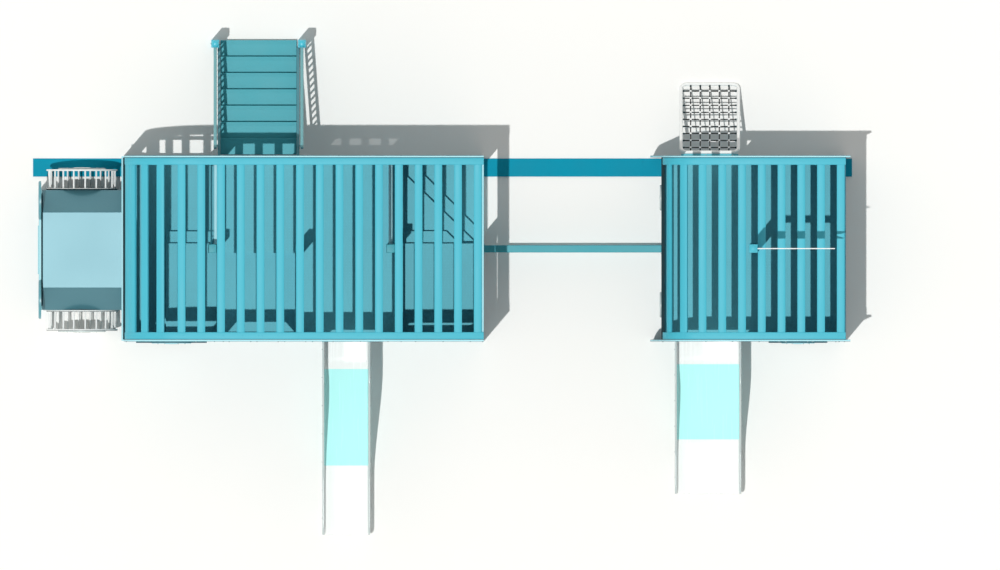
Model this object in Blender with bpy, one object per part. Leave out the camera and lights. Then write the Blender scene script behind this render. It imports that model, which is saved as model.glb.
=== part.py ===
"""Playground slide unit: two roofed play decks tied by a beam and a base board, with two
slides, a stair and a net climber. Metres, +Z up, slides towards -Y, stair and net towards +Y."""
import math

import bmesh
import bpy
from mathutils import Matrix, Vector

# Shared sizes
GAP = 0.0003
PANEL = 0.03
BOARD = 0.05
POST = 0.126
WALL_BACK = 1.98
WALL_FRONT = -0.81
IN_BACK = WALL_BACK - PANEL - GAP
IN_FRONT = WALL_FRONT + PANEL + GAP
POST_Y = 0.584
BIND = 0.02

# Base board that lies on the ground and ties the unit together
BASE_X = 6.1425
BASE_Y = (1.6635, 1.9350)
BASE_THICK = 0.02
OVER_BASE = BASE_THICK + GAP
BESIDE_BASE = BASE_Y[0] - GAP

# Left tower
LEFT_X0 = -4.78
LEFT_X1 = 0.62
LEFT_TOP = 3.45
LEFT_NOSE_LONG = 0.96
LEFT_NOSE_DROP = 0.69
LEFT_DASH_TOP = 2.12
EXIT_TOP = 2.06
EXIT_Y = (0.78, 1.84)

# Openings in the left tower's front and back walls, as x0, x1, z0, z1 and a corner radius
NOSE_WINDOW = (-4.5375, -3.6075, 2.03, 2.83, 0.08)
SIDE_WINDOW = ((-3.3375, 1.75), (-2.3025, 1.75), (-2.6025, 3.04), (-3.3375, 3.04))
SIDE_WINDOW_ROUND = 0.08
HIGH_SLOT = (-0.7275, 0.2475, 2.49, 2.94, 0.06)
CRAWL_HOLE = (-4.5825, -3.5175, 0.29, 1.97, 0.20)
BACK_WINDOW = (-4.5375, -3.6075, 2.20, 2.83, 0.08)
DECK_WINDOW = (-1.8375, -0.8775, 1.18, 2.13, 0.06)
STAIR_DOOR_HALF = 0.495
STAIR_DOOR_TOP = 2.75

# Windscreens and the window beside the exit, as y0, y1, z0, z1 and a corner radius
LEFT_SCREENS = ((0.78, 1.80, 1.42, 2.04, 0.08), (-0.62, 0.70, 1.42, 1.74, 0.08))
RIGHT_SCREEN = (-0.62, 1.78, 1.35, 1.95, 0.08)
END_WINDOW = (-0.44, 0.53, 1.75, 2.07, 0.04)

# Decks and inside steps of the left tower
DECK_MAIN = 1.15
DECK_LOW = 0.85
STEP_HIGH = 0.15
STEP_FLOOR = 0.25
STEP_BOARD = 0.04
RISER = 0.03
POST_LEFT_X = -3.453
POST_MIDDLE_X = -2.1405
POST_RIGHT_X = -0.7785
POST_TOP = 2.92
DECK_LEFT_X = -3.3897
LOW_DECK_X1 = -2.2125
LOW_DECK_Y = 0.5175
DECK_RIGHT_X = -0.5925
CORNER_X0 = -4.15
CORNER_Y = (0.6615, 0.8415)
WIND_Y = (0.66, 0.8445)
WIND_CORNER_X = 0.0525
WIND_TURN_X = 0.24
WIND_LINE_A = ((-0.5505, 1.6815), (0.4695, 0.6975))
WIND_LINE_B = ((-0.4275, 1.8375), (0.4575, 0.9525))
RISER_TUCK = 0.02
RISER_LIP = 0.003
RISER_IN = 0.012
CHEEK_BITE = 0.01
UPSTAND_SHY = 0.002

# Guards behind the posts: a rail, and a board on the deck's edge or under the rail
BARRIER_TOP = DECK_MAIN + 1.16
BARRIER_RAIL = 0.03
BARRIER_BOARD = 0.027
BARRIER_CLEAR = 0.05
BARRIER_TIE = 0.010
BARRIER_TIE_IN = 0.12
BARRIER_LEFT = (-3.402, -3.48)

# Right tower
RIGHT_X0 = 3.29
RIGHT_X1 = 6.05
RIGHT_TOP = 2.80
RIGHT_NOSE_LONG = 0.545
RIGHT_NOSE_DROP = 0.60
RIGHT_DASH_TOP = RIGHT_TOP - RIGHT_NOSE_DROP - GAP
RIGHT_BULGE_TOP = 1.20
RIGHT_FOOT_X = 3.16
RIGHT_BULGE_X = 3.115
RIGHT_VISOR_X = 6.12
RIGHT_VISOR_DROP = 0.42
DECK_RIGHT = 1.00

# Roofs
RAIL_WIDE = 0.11
ROOF_THICK = 0.06
ROOF_SET_DOWN = 0.012
SLAT_WIDE = 0.118
SLAT_PITCH = 0.2963
SLAT_SHY = 0.006
LEFT_FIRST_SLAT = -3.619
LEFT_FLAT_SLATS = 15
LEFT_NOSE_SLATS = (0.0953, 0.425, 0.70, 0.957, 1.081, 1.205)
RIGHT_FIRST_SLAT = 3.90
RIGHT_FLAT_SLATS = 8
RIGHT_NOSE_SLATS = (0.236, 0.572)

# Hood with its lamps and two barred wheels
HOOD_X0 = -6.00
HOOD_Y = (-0.3375, 1.4625)
HOOD_TOP_Y = (-0.0075, 1.1325)
HOOD_SHOULDER = 1.00
HOOD_TOP = 1.30
HOOD_FRONT = 0.055
LAMP_RADIUS = 0.29
LAMP_Y = (-0.18, 1.308)
LAMP_Z = 1.32
LAMP_PROUD = 0.012
LAMP_DEEP = 0.048
LAMP_THICK = 0.037
WHEEL_X = -5.4075
WHEEL_RADIUS = 0.535
WHEEL_BAR_RING = 0.495
WHEEL_BAR_RADIUS = 0.013
WHEEL_BARS = 18
WHEEL_BAR_TURN = math.radians(4.4)
WHEEL_REACH = 0.31
WHEEL_FACE = 0.025
WHEEL_CAP_RADIUS = 0.36
WHEEL_SIDES = 36

# Flat discs on the panels
DISC_THICK = 0.02
LEFT_DISC = (-4.065, 0.5325)
RIGHT_DISC = (5.3325, 0.4425)
RIGHT_LAMP_RADIUS = 0.191
RIGHT_LAMP_Y = (-0.259, 1.346)
RIGHT_LAMP_Z = 0.74

# Stair
STAIR_X = -2.759
TREAD_HALF = 0.57
STRINGER = 0.042
TREADS = 7
RISE = DECK_MAIN / (TREADS + 1)
GOING = 0.2454
STAIR_HEAD = WALL_BACK + 0.012
STAIR_FOOT = STAIR_HEAD + TREADS * GOING
TREAD_THICK = 0.04
STRINGER_OVER = 0.05
STRINGER_UNDER = 0.24
NEWEL = 0.12
NEWEL_HIGH = 1.43
NEWEL_Y = 3.656
HANDRAIL = 0.024
HANDRAIL_OVER = 1.17
HANDRAIL_OFF = 0.038
LOWER_RAIL_OVER = 0.27
LOWER_RAIL = 0.020
BALUSTER = 0.015
BALUSTERS = 13
RAIL_HEAD_Y = 2.13
RAIL_OVERRUN = 0.04
END_POST = 0.023
END_POST_IN = 0.015
END_POST_DROP = 0.15

# Slides
SLIDE_SIDE = 0.03
SLIDE_THICK = 0.03
SLIDE_LOW = 0.33
SLIDE_LIP_TOP = 0.545
SLIDE_BEND = 0.45
SLIDE_TIP = 0.03
SLIDE_SKIRT = 0.03
SIDE_LEVEL = 0.26
SIDE_RUN_OUT = 0.25
SIDE_END_ROUND = 0.12
FOOT_TUBE = 0.03
FOOT_IN = 0.08
FOOT_BACK = 0.35
FOOT_BEND = 0.10
SLIDE_ONE = {"x": -1.443, "half": 0.33, "top": DECK_MAIN, "level": 0.3435, "slope": 1.50,
             "end": -3.7125, "side": 1.68}
SLIDE_TWO = {"x": 3.984, "half": 0.468, "top": DECK_RIGHT, "level": 0.3405, "slope": 1.128,
             "end": -3.0975, "side": 1.33}
SLIDE_DOOR_HIGH = 1.30
NET_DOOR_HIGH = 1.15
GUARD_BAR = 0.019
GUARD_OVER = 0.75

# Net climber
NET_X = 4.009
NET_HALF = 0.43
NET_TUBE = 0.025
NET_FOOT_Y = 3.05
NET_HEAD_Y = 2.03
NET_HEAD_Z = 0.975
NET_CORNER = 0.09
ROPE = 0.008
ROPES_UP = 5
ROPES_ACROSS = 9

# Mast with its flag, and the balance beam
MAST_X = 4.664
MAST_TOP = 4.70
FLAG_X1 = 5.8875
FLAG_Z = (3.95, 4.69)
FLAG_NOTCH = 0.21
FLAG_THICK = 0.015
BEAM_Y = (0.525, 0.635)
BEAM_Z = (0.16, 0.28)

TEAL = (0.10, 0.47, 0.58, 1.0)
TEAL_DARK = (0.02, 0.28, 0.38, 1.0)
PALE_TEAL = (0.36, 0.62, 0.66, 1.0)
WHITE = (0.90, 0.91, 0.90, 1.0)
CYAN = (0.52, 1.0, 0.98, 1.0)
GREY = (0.35, 0.36, 0.36, 1.0)
SATIN = 0.45

TURNS = {"top": (0, 0, 0), "front": (math.pi / 2, 0, 0), "side": (math.pi / 2, 0, math.pi / 2)}


def clear_scene():
    """Start from an empty file."""
    for item in list(bpy.data.objects):
        bpy.data.objects.remove(item)


def parts_collection():
    """The collection that holds every piece."""
    group = bpy.data.collections.new("playground_slide_unit")
    bpy.context.scene.collection.children.link(group)
    return group


def finish(item, name, colour, smooth=None):
    """Name a piece, give it its own material and put it with the parts."""
    item.name = name
    item.data.name = name
    surface = bpy.data.materials.new(name)
    surface.use_nodes = True
    shader = surface.node_tree.nodes["Principled BSDF"]
    shader.inputs["Base Color"].default_value = colour
    shader.inputs["Roughness"].default_value = SATIN
    item.data.materials.clear()
    item.data.materials.append(surface)
    if smooth is not None:
        item.data.shade_smooth()
        item.data.set_sharp_from_angle(angle=math.radians(smooth))
    for group in list(item.users_collection):
        group.objects.unlink(item)
    PARTS.objects.link(item)


def scratch(mesh):
    """A mesh as a linked object, ready for modifiers."""
    item = bpy.data.objects.new("scratch", mesh)
    bpy.context.scene.collection.objects.link(item)
    return item


def boxes(corners, turn=None):
    """One mesh of boxes, each given by its low and high corner."""
    mesh = bpy.data.meshes.new("boxes")
    shape = bmesh.new()
    for low, high in corners:
        size = Vector(high) - Vector(low)
        middle = (Vector(high) + Vector(low)) / 2
        place = Matrix.Translation(middle) @ Matrix.Diagonal((*size, 1.0))
        bmesh.ops.create_cube(shape, size=1.0, matrix=place if turn is None else turn @ place)
    shape.to_mesh(mesh)
    shape.free()
    return scratch(mesh)


def rods(ends, radius, sides):
    """One mesh of straight round rods, each given by its two end points."""
    mesh = bpy.data.meshes.new("rods")
    shape = bmesh.new()
    for start, stop in ends:
        run = Vector(stop) - Vector(start)
        middle = (Vector(stop) + Vector(start)) / 2
        aim = Vector((0, 0, 1)).rotation_difference(run).to_matrix().to_4x4()
        bmesh.ops.create_cone(shape, cap_ends=True, segments=sides, radius1=radius, radius2=radius,
                              depth=run.length, matrix=Matrix.Translation(middle) @ aim)
    shape.to_mesh(mesh)
    shape.free()
    return scratch(mesh)


def as_mesh(item):
    """Turn a curve, or an object with modifiers, into a plain welded mesh."""
    bpy.context.view_layer.update()
    graph = bpy.context.evaluated_depsgraph_get()
    mesh = bpy.data.meshes.new_from_object(item.evaluated_get(graph))
    place = item.matrix_world.copy()
    bpy.data.objects.remove(item)
    shape = bmesh.new()
    shape.from_mesh(mesh)
    bmesh.ops.remove_doubles(shape, verts=shape.verts, dist=0.00002)
    shape.to_mesh(mesh)
    shape.free()
    mesh.transform(place)
    return scratch(mesh)


def fuse(body, *others, operation="UNION"):
    """Join one scratch object with others, or cut it with them, and keep the result."""
    for other in others:
        step = body.modifiers.new("fuse", "BOOLEAN")
        step.operation = operation
        step.solver = "EXACT"
        step.object = other
        body = as_mesh(body)
        bpy.data.objects.remove(other)
    return body


def plate(view, outline, holes, middle, thick):
    """A flat plate from its outline. Its view is top (x, y), front (x, z) or side (y, z)."""
    curve = bpy.data.curves.new("plate", "CURVE")
    curve.dimensions = "2D"
    curve.fill_mode = "BOTH"
    curve.extrude = thick / 2
    for loop in [outline, *holes]:
        line = curve.splines.new("POLY")
        line.points.add(len(loop) - 1)
        for point, (across, up) in zip(line.points, loop):
            point.co = (across, up, 0, 1)
        line.use_cyclic_u = True
    item = bpy.data.objects.new("plate", curve)
    bpy.context.scene.collection.objects.link(item)
    item.rotation_euler = TURNS[view]
    item.location = {"top": (0, 0, middle), "front": (0, middle, 0), "side": (middle, 0, 0)}[view]
    return as_mesh(item)


def tube(points, radius, closed=False):
    """A round tube along straight or finely stepped points."""
    curve = bpy.data.curves.new("tube", "CURVE")
    curve.dimensions = "3D"
    curve.bevel_depth = radius
    curve.bevel_resolution = 2
    curve.use_fill_caps = not closed
    line = curve.splines.new("POLY")
    line.points.add(len(points) - 1)
    for point, place in zip(line.points, points):
        point.co = (*place, 1)
    line.use_cyclic_u = closed
    item = bpy.data.objects.new("tube", curve)
    bpy.context.scene.collection.objects.link(item)
    return as_mesh(item)


def rectangle(x0, x1, y0, y1, radius=0.0, steps=4):
    """A rectangle, anticlockwise, with round corners where a radius is given."""
    corners = [(x0, y0), (x1, y0), (x1, y1), (x0, y1)]
    return rounded(corners, radius, steps) if radius else corners


def rounded(corners, radius, steps=4):
    """Any outline with its corners rounded by arcs of one radius."""
    points = []
    count = len(corners)
    for index, corner in enumerate(corners):
        here = Vector(corner)
        back = (Vector(corners[index - 1]) - here).normalized()
        ahead = (Vector(corners[(index + 1) % count]) - here).normalized()
        half = back.angle(ahead) / 2
        centre = here + (back + ahead).normalized() * radius / math.sin(half)
        first = here + back * radius / math.tan(half) - centre
        last = here + ahead * radius / math.tan(half) - centre
        start = math.atan2(first.y, first.x)
        sweep = (math.atan2(last.y, last.x) - start + math.pi) % math.tau - math.pi
        for step in range(steps + 1):
            angle = start + sweep * step / steps
            points.append((centre.x + radius * math.cos(angle), centre.y + radius * math.sin(angle)))
    return points


def circle(cx, cy, radius, sides=WHEEL_SIDES):
    """The points of a circle."""
    return [(cx + radius * math.cos(math.tau * i / sides), cy + radius * math.sin(math.tau * i / sides))
            for i in range(sides)]


def disc(y0, y1, cx, cz, radius, sides=WHEEL_SIDES):
    """A round plate that faces along Y."""
    return plate("front", circle(cx, cz, radius, sides), [], (y0 + y1) / 2, y1 - y0)


def nose_arc(centre_x, top, long, drop, steps=12, inset=0.0):
    """Points of a quarter ellipse from the front of a nose up to its flat roof."""
    points = []
    for step in range(steps + 1):
        angle = math.pi / 2 * step / steps
        points.append((centre_x - (long - inset) * math.cos(angle),
                       top - drop + (drop - inset) * math.sin(angle)))
    return points


def arc_place(long, drop, distance, count=400):
    """How far back and down a nose is at a distance along it, and its slope there."""
    walked = 0.0
    last = (0.0, 0.0)
    for step in range(1, count + 1):
        angle = math.pi / 2 * step / count
        now = (long * math.sin(angle), drop * (1 - math.cos(angle)))
        walked += math.dist(last, now)
        if walked >= distance:
            return now, math.atan2(drop * math.sin(angle), long * math.cos(angle))
        last = now
    return last, math.pi / 2


# Roofs
def flat_roof(name, x0, x1, first, count, top):
    """Two side rails with the slats across them, welded into one flat roof."""
    low = top - ROOF_SET_DOWN - ROOF_THICK
    high = top - ROOF_SET_DOWN
    rails = boxes([((x0, IN_BACK - RAIL_WIDE, low), (x1, IN_BACK, high)),
                   ((x0, IN_FRONT, low), (x1, IN_FRONT + RAIL_WIDE, high))])
    slats = boxes([((first + i * SLAT_PITCH - SLAT_WIDE / 2, IN_FRONT + RAIL_WIDE - BIND, low + SLAT_SHY),
                    (first + i * SLAT_PITCH + SLAT_WIDE / 2, IN_BACK - RAIL_WIDE + BIND, high - SLAT_SHY))
                   for i in range(count)])
    finish(fuse(rails, slats), name, TEAL)


def nose_roof(name, centre_x, top, long, drop, places):
    """The part of a roof that bends down the nose: two bent rails, and slats at distances along it."""
    outer = nose_arc(centre_x, top, long, drop, inset=ROOF_SET_DOWN)
    inner = nose_arc(centre_x, top, long, drop, inset=ROOF_SET_DOWN + ROOF_THICK)
    outline = [*outer, *reversed(inner)]
    back_rail = plate("front", outline, [], IN_BACK - RAIL_WIDE / 2, RAIL_WIDE)
    front_rail = plate("front", outline, [], IN_FRONT + RAIL_WIDE / 2, RAIL_WIDE)
    slats = []
    for distance in places:
        (back, down), slope = arc_place(long - ROOF_SET_DOWN, drop - ROOF_SET_DOWN, distance)
        spot = Matrix.Translation((centre_x - back, 0, top - ROOF_SET_DOWN - down))
        low = (-SLAT_WIDE / 2, IN_FRONT + RAIL_WIDE - BIND, SLAT_SHY - ROOF_THICK)
        high = (SLAT_WIDE / 2, IN_BACK - RAIL_WIDE + BIND, -SLAT_SHY)
        slats.append(boxes([(low, high)], spot @ Matrix.Rotation(-slope, 4, "Y")))
    finish(fuse(back_rail, *slats, front_rail), name, TEAL)


# Left tower
def left_outline():
    """Side outline of the left tower's walls."""
    nose = nose_arc(LEFT_X0 + LEFT_NOSE_LONG, LEFT_TOP, LEFT_NOSE_LONG, LEFT_NOSE_DROP)
    return [(LEFT_X0, 0.0), *nose, (LEFT_X1, LEFT_TOP), (LEFT_X1, 0.0)]


def slide_door(slide):
    """The doorway that a slide starts from."""
    reach = slide["half"] + SLIDE_SIDE
    return rectangle(slide["x"] - reach, slide["x"] + reach, slide["top"], slide["top"] + SLIDE_DOOR_HIGH)


def left_walls():
    """Front and back panels with their doorways and windows."""
    front_holes = [rectangle(*NOSE_WINDOW), rounded(SIDE_WINDOW, SIDE_WINDOW_ROUND),
                   slide_door(SLIDE_ONE), rectangle(*HIGH_SLOT)]
    front = plate("front", left_outline(), front_holes, WALL_FRONT + PANEL / 2, PANEL)
    finish(front, "left_front_wall", TEAL)
    stair_door = rectangle(STAIR_X - STAIR_DOOR_HALF, STAIR_X + STAIR_DOOR_HALF, DECK_MAIN, STAIR_DOOR_TOP)
    back_holes = [rectangle(*CRAWL_HOLE), rectangle(*BACK_WINDOW), stair_door, rectangle(*DECK_WINDOW)]
    back = plate("front", left_outline(), back_holes, WALL_BACK - PANEL / 2, PANEL)
    finish(back, "left_back_wall", TEAL)


def left_ends():
    """The dash panel behind the hood with its windscreens, and the right end's panel with the exit."""
    dash = [(IN_FRONT, 0.0), (BESIDE_BASE, 0.0), (BESIDE_BASE, OVER_BASE), (IN_BACK, OVER_BASE),
            (IN_BACK, LEFT_DASH_TOP), (IN_FRONT, LEFT_DASH_TOP)]
    screens = [rectangle(*screen) for screen in LEFT_SCREENS]
    finish(plate("side", dash, screens, LEFT_X0 + PANEL / 2, PANEL), "left_dash_panel", TEAL)
    top = LEFT_TOP - ROOF_SET_DOWN - ROOF_THICK - GAP
    end = [(IN_FRONT, 0.0), (EXIT_Y[0], 0.0), (EXIT_Y[0], EXIT_TOP), (EXIT_Y[1], EXIT_TOP),
           (EXIT_Y[1], OVER_BASE), (IN_BACK, OVER_BASE), (IN_BACK, top), (IN_FRONT, top)]
    window = rectangle(*END_WINDOW)
    finish(plate("side", end, [window], LEFT_X1 - PANEL / 2, PANEL), "left_end_panel", TEAL)


def left_decks():
    """The main deck round its posts, the lower deck and the board under their left edge."""
    reach = POST / 2 + GAP
    low_x1 = LOW_DECK_X1 + RISER
    low_y = LOW_DECK_Y + RISER
    main = [(DECK_LEFT_X, IN_BACK), (DECK_LEFT_X, LOW_DECK_Y), (LOW_DECK_X1, LOW_DECK_Y),
            (LOW_DECK_X1, IN_FRONT), (DECK_RIGHT_X, IN_FRONT), (DECK_RIGHT_X, IN_BACK)]
    holes = [rectangle(x - reach, x + reach, POST_Y - reach, POST_Y + reach)
             for x in (POST_MIDDLE_X, POST_RIGHT_X)]
    finish(plate("top", main, holes, DECK_MAIN - BOARD / 2, BOARD), "main_deck", TEAL)

    low_board = plate("top", rectangle(DECK_LEFT_X, low_x1, IN_FRONT, low_y), [],
                      DECK_LOW - BOARD / 2, BOARD)
    riser_low = DECK_LOW - BIND
    riser_high = DECK_MAIN - BOARD - GAP
    shy = UPSTAND_SHY
    upstand = [(DECK_LEFT_X + shy, low_y - shy), (DECK_LEFT_X + shy, LOW_DECK_Y + shy),
               (LOW_DECK_X1 + shy, LOW_DECK_Y + shy), (LOW_DECK_X1 + shy, IN_FRONT + shy),
               (low_x1 - shy, IN_FRONT + shy), (low_x1 - shy, low_y - shy)]
    riser = plate("top", upstand, [], (riser_low + riser_high) / 2, riser_high - riser_low)
    notch = boxes([((POST_MIDDLE_X - reach, POST_Y - reach, 0.1),
                    (POST_MIDDLE_X + reach, POST_Y + reach, 2.0))])
    finish(fuse(fuse(low_board, riser), notch, operation="DIFFERENCE"), "lower_deck", TEAL)

    front_top = DECK_LOW - BOARD - GAP
    divider = [(IN_FRONT, 0.0), (BESIDE_BASE, 0.0), (BESIDE_BASE, OVER_BASE), (IN_BACK, OVER_BASE),
               (IN_BACK, riser_high), (low_y + GAP, riser_high), (low_y + GAP, front_top),
               (IN_FRONT, front_top)]
    finish(plate("side", divider, [], DECK_LEFT_X + PANEL / 2, PANEL), "bay_divider", TEAL)


def corner_steps():
    """Three levels that lead from the crawl hole up to the lower deck, with the floor of the nose bay."""
    levels = [STEP_FLOOR + i * STEP_HIGH for i in range(3)]
    x1 = DECK_LEFT_X - GAP
    front_y, back_y = CORNER_Y
    under = STEP_BOARD
    folded = [(IN_FRONT, levels[2] - under), (front_y - RISER, levels[2] - under),
              (front_y - RISER, levels[1] - under), (back_y - RISER, levels[1] - under),
              (back_y - RISER, levels[0] - under), (IN_BACK, levels[0] - under),
              (IN_BACK, levels[0]), (back_y, levels[0]), (back_y, levels[1]),
              (front_y, levels[1]), (front_y, levels[2]), (IN_FRONT, levels[2])]
    steps = plate("side", folded, [], (CORNER_X0 + x1) / 2, x1 - CORNER_X0)
    bite = CHEEK_BITE
    cheek = [(IN_FRONT + bite, 0.0), (BESIDE_BASE, 0.0), (BESIDE_BASE, OVER_BASE),
             (IN_BACK - bite, OVER_BASE), (IN_BACK - bite, levels[0] - BIND),
             (back_y - bite, levels[0] - BIND), (back_y - bite, levels[1] - BIND),
             (front_y - bite, levels[1] - BIND), (front_y - bite, levels[2] - BIND),
             (IN_FRONT + bite, levels[2] - BIND)]
    left_cheek = plate("side", cheek, [], CORNER_X0 + bite + PANEL / 2, PANEL)
    right_cheek = plate("side", cheek, [], x1 - POST - bite - PANEL / 2, PANEL)
    bay_floor = boxes([((LEFT_X0 + PANEL + GAP, IN_FRONT, levels[0] - under),
                        (CORNER_X0 + bite * 2, IN_BACK, levels[0]))])
    reach = POST / 2 + GAP
    notch = boxes([((POST_LEFT_X - reach, POST_Y - reach, 0.1), (x1 + bite, POST_Y + reach, 1.0))])
    steps = fuse(fuse(steps, left_cheek, right_cheek, bay_floor), notch, operation="DIFFERENCE")
    finish(steps, "corner_steps", TEAL)


def riser_board(start, stop, low, high):
    """An upright board along a line on the floor plan, on the left of its direction."""
    run = Vector(stop) - Vector(start)
    turn = Matrix.Translation((*start, 0)) @ Matrix.Rotation(math.atan2(run.y, run.x), 4, "Z")
    return boxes([((0, 0, low), (run.length, RISER, high))], turn)


def winding_steps():
    """Five levels that wind down from the main deck to the exit at the right end."""
    x0 = DECK_RIGHT_X + GAP
    x1 = LEFT_X1 - PANEL - GAP
    low_y, high_y = WIND_Y
    tuck = RISER_TUCK
    lip = RISER_LIP
    inner = RISER_IN
    corner = (WIND_CORNER_X, high_y)
    turn_to = (WIND_TURN_X, low_y)
    line_a = WIND_LINE_A
    line_b = WIND_LINE_B

    def at(line, x):
        """The y of a line at an x."""
        (xa, ya), (xb, yb) = line
        return ya + (yb - ya) * (x - xa) / (xb - xa)

    def along(line, y):
        """The x of a line at a y."""
        (xa, ya), (xb, yb) = line
        return xa + (xb - xa) * (y - ya) / (yb - ya)

    edge = low_y - tuck
    cut_x = along((corner, turn_to), edge)
    areas = [
        rectangle(x0, x1, IN_FRONT, low_y),
        [(x0, edge), (cut_x, edge), corner, (x0, high_y)],
        [(x0, high_y - tuck), (corner[0] - tuck / 2, high_y - tuck), (cut_x - tuck, edge),
         (along(line_a, edge), edge), (x0, at(line_a, x0))],
        [(x0, at(line_a, x0) - tuck), (along(line_a, edge) - tuck, edge), (x1, edge),
         (x1, at(line_b, x1)), (along(line_b, IN_BACK), IN_BACK), (x0, IN_BACK)],
        [(along(line_b, IN_BACK) - tuck, IN_BACK), (x1, at(line_b, x1) - tuck), (x1, IN_BACK)],
    ]
    tops = [DECK_LOW - i * STEP_HIGH for i in range(len(areas))]
    boards = [plate("top", area, [], top - STEP_BOARD / 2, STEP_BOARD) for area, top in zip(areas, tops)]
    joints = [top - BIND for top in tops]
    lines = [
        ((x1 - inner, low_y - lip), (x0 + inner, low_y - lip), joints[3], joints[0]),
        ((corner[0] - inner, high_y - lip), (x0 + inner, high_y - lip), joints[2], joints[1]),
        ((turn_to[0] - lip, low_y - lip), (corner[0] - lip, high_y - lip), joints[2], joints[1]),
        ((along(line_a, low_y), low_y - lip), (x0 + RISER, at(line_a, x0 + RISER) - lip),
         joints[3], joints[2]),
        ((x1 - inner, at(line_b, x1 - inner) - lip),
         (along(line_b, IN_BACK - inner), IN_BACK - inner - lip), OVER_BASE, joints[3]),
        ((x1 - lip, at(line_b, x1) + inner), (x1 - lip, IN_BACK - inner), OVER_BASE, joints[4]),
    ]
    risers = [riser_board(*line) for line in lines]
    finish(fuse(*boards, *risers), "winding_steps", TEAL)

    high = DECK_MAIN - BOARD - GAP
    side = [(IN_FRONT, 0.0), (BESIDE_BASE, 0.0), (BESIDE_BASE, OVER_BASE), (IN_BACK, OVER_BASE),
            (IN_BACK, high), (IN_FRONT, high)]
    finish(plate("side", side, [], DECK_RIGHT_X - PANEL / 2, PANEL), "steps_side_panel", TEAL)


def left_posts():
    """Three square posts that stand through the decks, with a guard behind the outer two."""
    half = POST / 2
    for side, x in (("left", POST_LEFT_X), ("middle", POST_MIDDLE_X), ("right", POST_RIGHT_X)):
        post = boxes([((x - half, POST_Y - half, 0.0), (x + half, POST_Y + half, POST_TOP))])
        finish(post, f"deck_post_{side}", TEAL)
    deck_guard("deck_guard_left", *BARRIER_LEFT, BARRIER_TOP)
    deck_guard("deck_guard_right", POST_RIGHT_X, POST_RIGHT_X - BARRIER_BOARD / 2, BARRIER_TOP - BARRIER_RAIL)


def deck_guard(name, rail_x, board_x, board_top):
    """A rail from a post to the back wall, tied to a board beside it or fused on top of one."""
    y0 = POST_Y + POST / 2 + GAP
    rail_z = BARRIER_TOP - BARRIER_RAIL
    board = boxes([((board_x, y0, DECK_MAIN + BARRIER_CLEAR), (board_x + BARRIER_BOARD, IN_BACK, board_top))])
    rail = tube([(rail_x, y0, rail_z), (rail_x, IN_BACK, rail_z)], BARRIER_RAIL)
    if rail_x - BARRIER_RAIL > board_x + BARRIER_BOARD:
        ties = [((rail_x, y, rail_z), (board_x + BARRIER_BOARD / 2, y, rail_z))
                for y in (y0 + BARRIER_TIE_IN, IN_BACK - BARRIER_TIE_IN)]
        rail = fuse(rail, rods(ties, BARRIER_TIE, 8))
    finish(fuse(board, rail), name, WHITE, 40)


def face_disc(name, across, radius):
    """A flat round disc on the outside of a front wall, just off the ground."""
    low = WALL_FRONT - GAP - DISC_THICK
    finish(disc(low, WALL_FRONT - GAP, across, radius + OVER_BASE, radius), name, TEAL, 40)


# Hood
def hood():
    """The bent hood shell, its front panel and the two round lamps let into the panel's corners."""
    y0, y1 = HOOD_Y
    t0, t1 = HOOD_TOP_Y
    skin = [(y0, 0.0), (y0, HOOD_SHOULDER), (t0, HOOD_TOP), (t1, HOOD_TOP), (y1, HOOD_SHOULDER), (y1, 0.0)]
    bend = PANEL * 0.4
    inside = [(y0 + PANEL, 0.0), (y0 + PANEL, HOOD_SHOULDER - bend), (t0 + bend, HOOD_TOP - PANEL),
              (t1 - bend, HOOD_TOP - PANEL), (y1 - PANEL, HOOD_SHOULDER - bend), (y1 - PANEL, 0.0)]
    x1 = LEFT_X0 - GAP
    shell = plate("side", [*skin, *reversed(inside)], [], (HOOD_X0 + x1) / 2, x1 - HOOD_X0)
    finish(shell, "hood_shell", PALE_TEAL)
    front = HOOD_X0 - GAP - HOOD_FRONT
    panel = plate("side", skin, [], front + HOOD_FRONT / 2, HOOD_FRONT)
    middle = front - LAMP_PROUD + LAMP_DEEP / 2
    for side, y in zip(("front", "back"), LAMP_Y):
        notch = plate("side", circle(y, LAMP_Z, LAMP_RADIUS + 2 * GAP), [], middle, 4 * LAMP_DEEP)
        panel = fuse(panel, notch, operation="DIFFERENCE")
        lamp = plate("side", circle(y, LAMP_Z, LAMP_RADIUS), [], middle, LAMP_DEEP)
        finish(lamp, f"hood_lamp_{side}", PALE_TEAL, 40)
    finish(panel, "hood_front_panel", TEAL)


def hood_wheel(name, side_y, way):
    """A wheel of an inner disc, a ring of bars, an outer disc and a cap, along Y."""
    cz = WHEEL_RADIUS + OVER_BASE

    def reach(near, far, radius, sides=WHEEL_SIDES):
        """A disc between two distances from the hood's side."""
        ends = sorted((side_y + way * near, side_y + way * far))
        return disc(*ends, WHEEL_X, cz, radius, sides)

    bind = 0.005
    inner = reach(GAP, WHEEL_FACE, WHEEL_RADIUS)
    outer = reach(WHEEL_REACH - WHEEL_FACE, WHEEL_REACH, WHEEL_RADIUS)
    cap = reach(WHEEL_REACH - bind, WHEEL_REACH + PANEL, WHEEL_CAP_RADIUS)
    ends = []
    for index in range(WHEEL_BARS):
        angle = math.tau * index / WHEEL_BARS + WHEEL_BAR_TURN
        x = WHEEL_X + WHEEL_BAR_RING * math.cos(angle)
        z = cz + WHEEL_BAR_RING * math.sin(angle)
        ends.append(((x, side_y + way * (WHEEL_FACE - bind), z),
                     (x, side_y + way * (WHEEL_REACH - WHEEL_FACE + bind), z)))
    bars = rods(ends, WHEEL_BAR_RADIUS, 8)
    finish(fuse(inner, bars, outer, cap), name, WHITE, 40)


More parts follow.
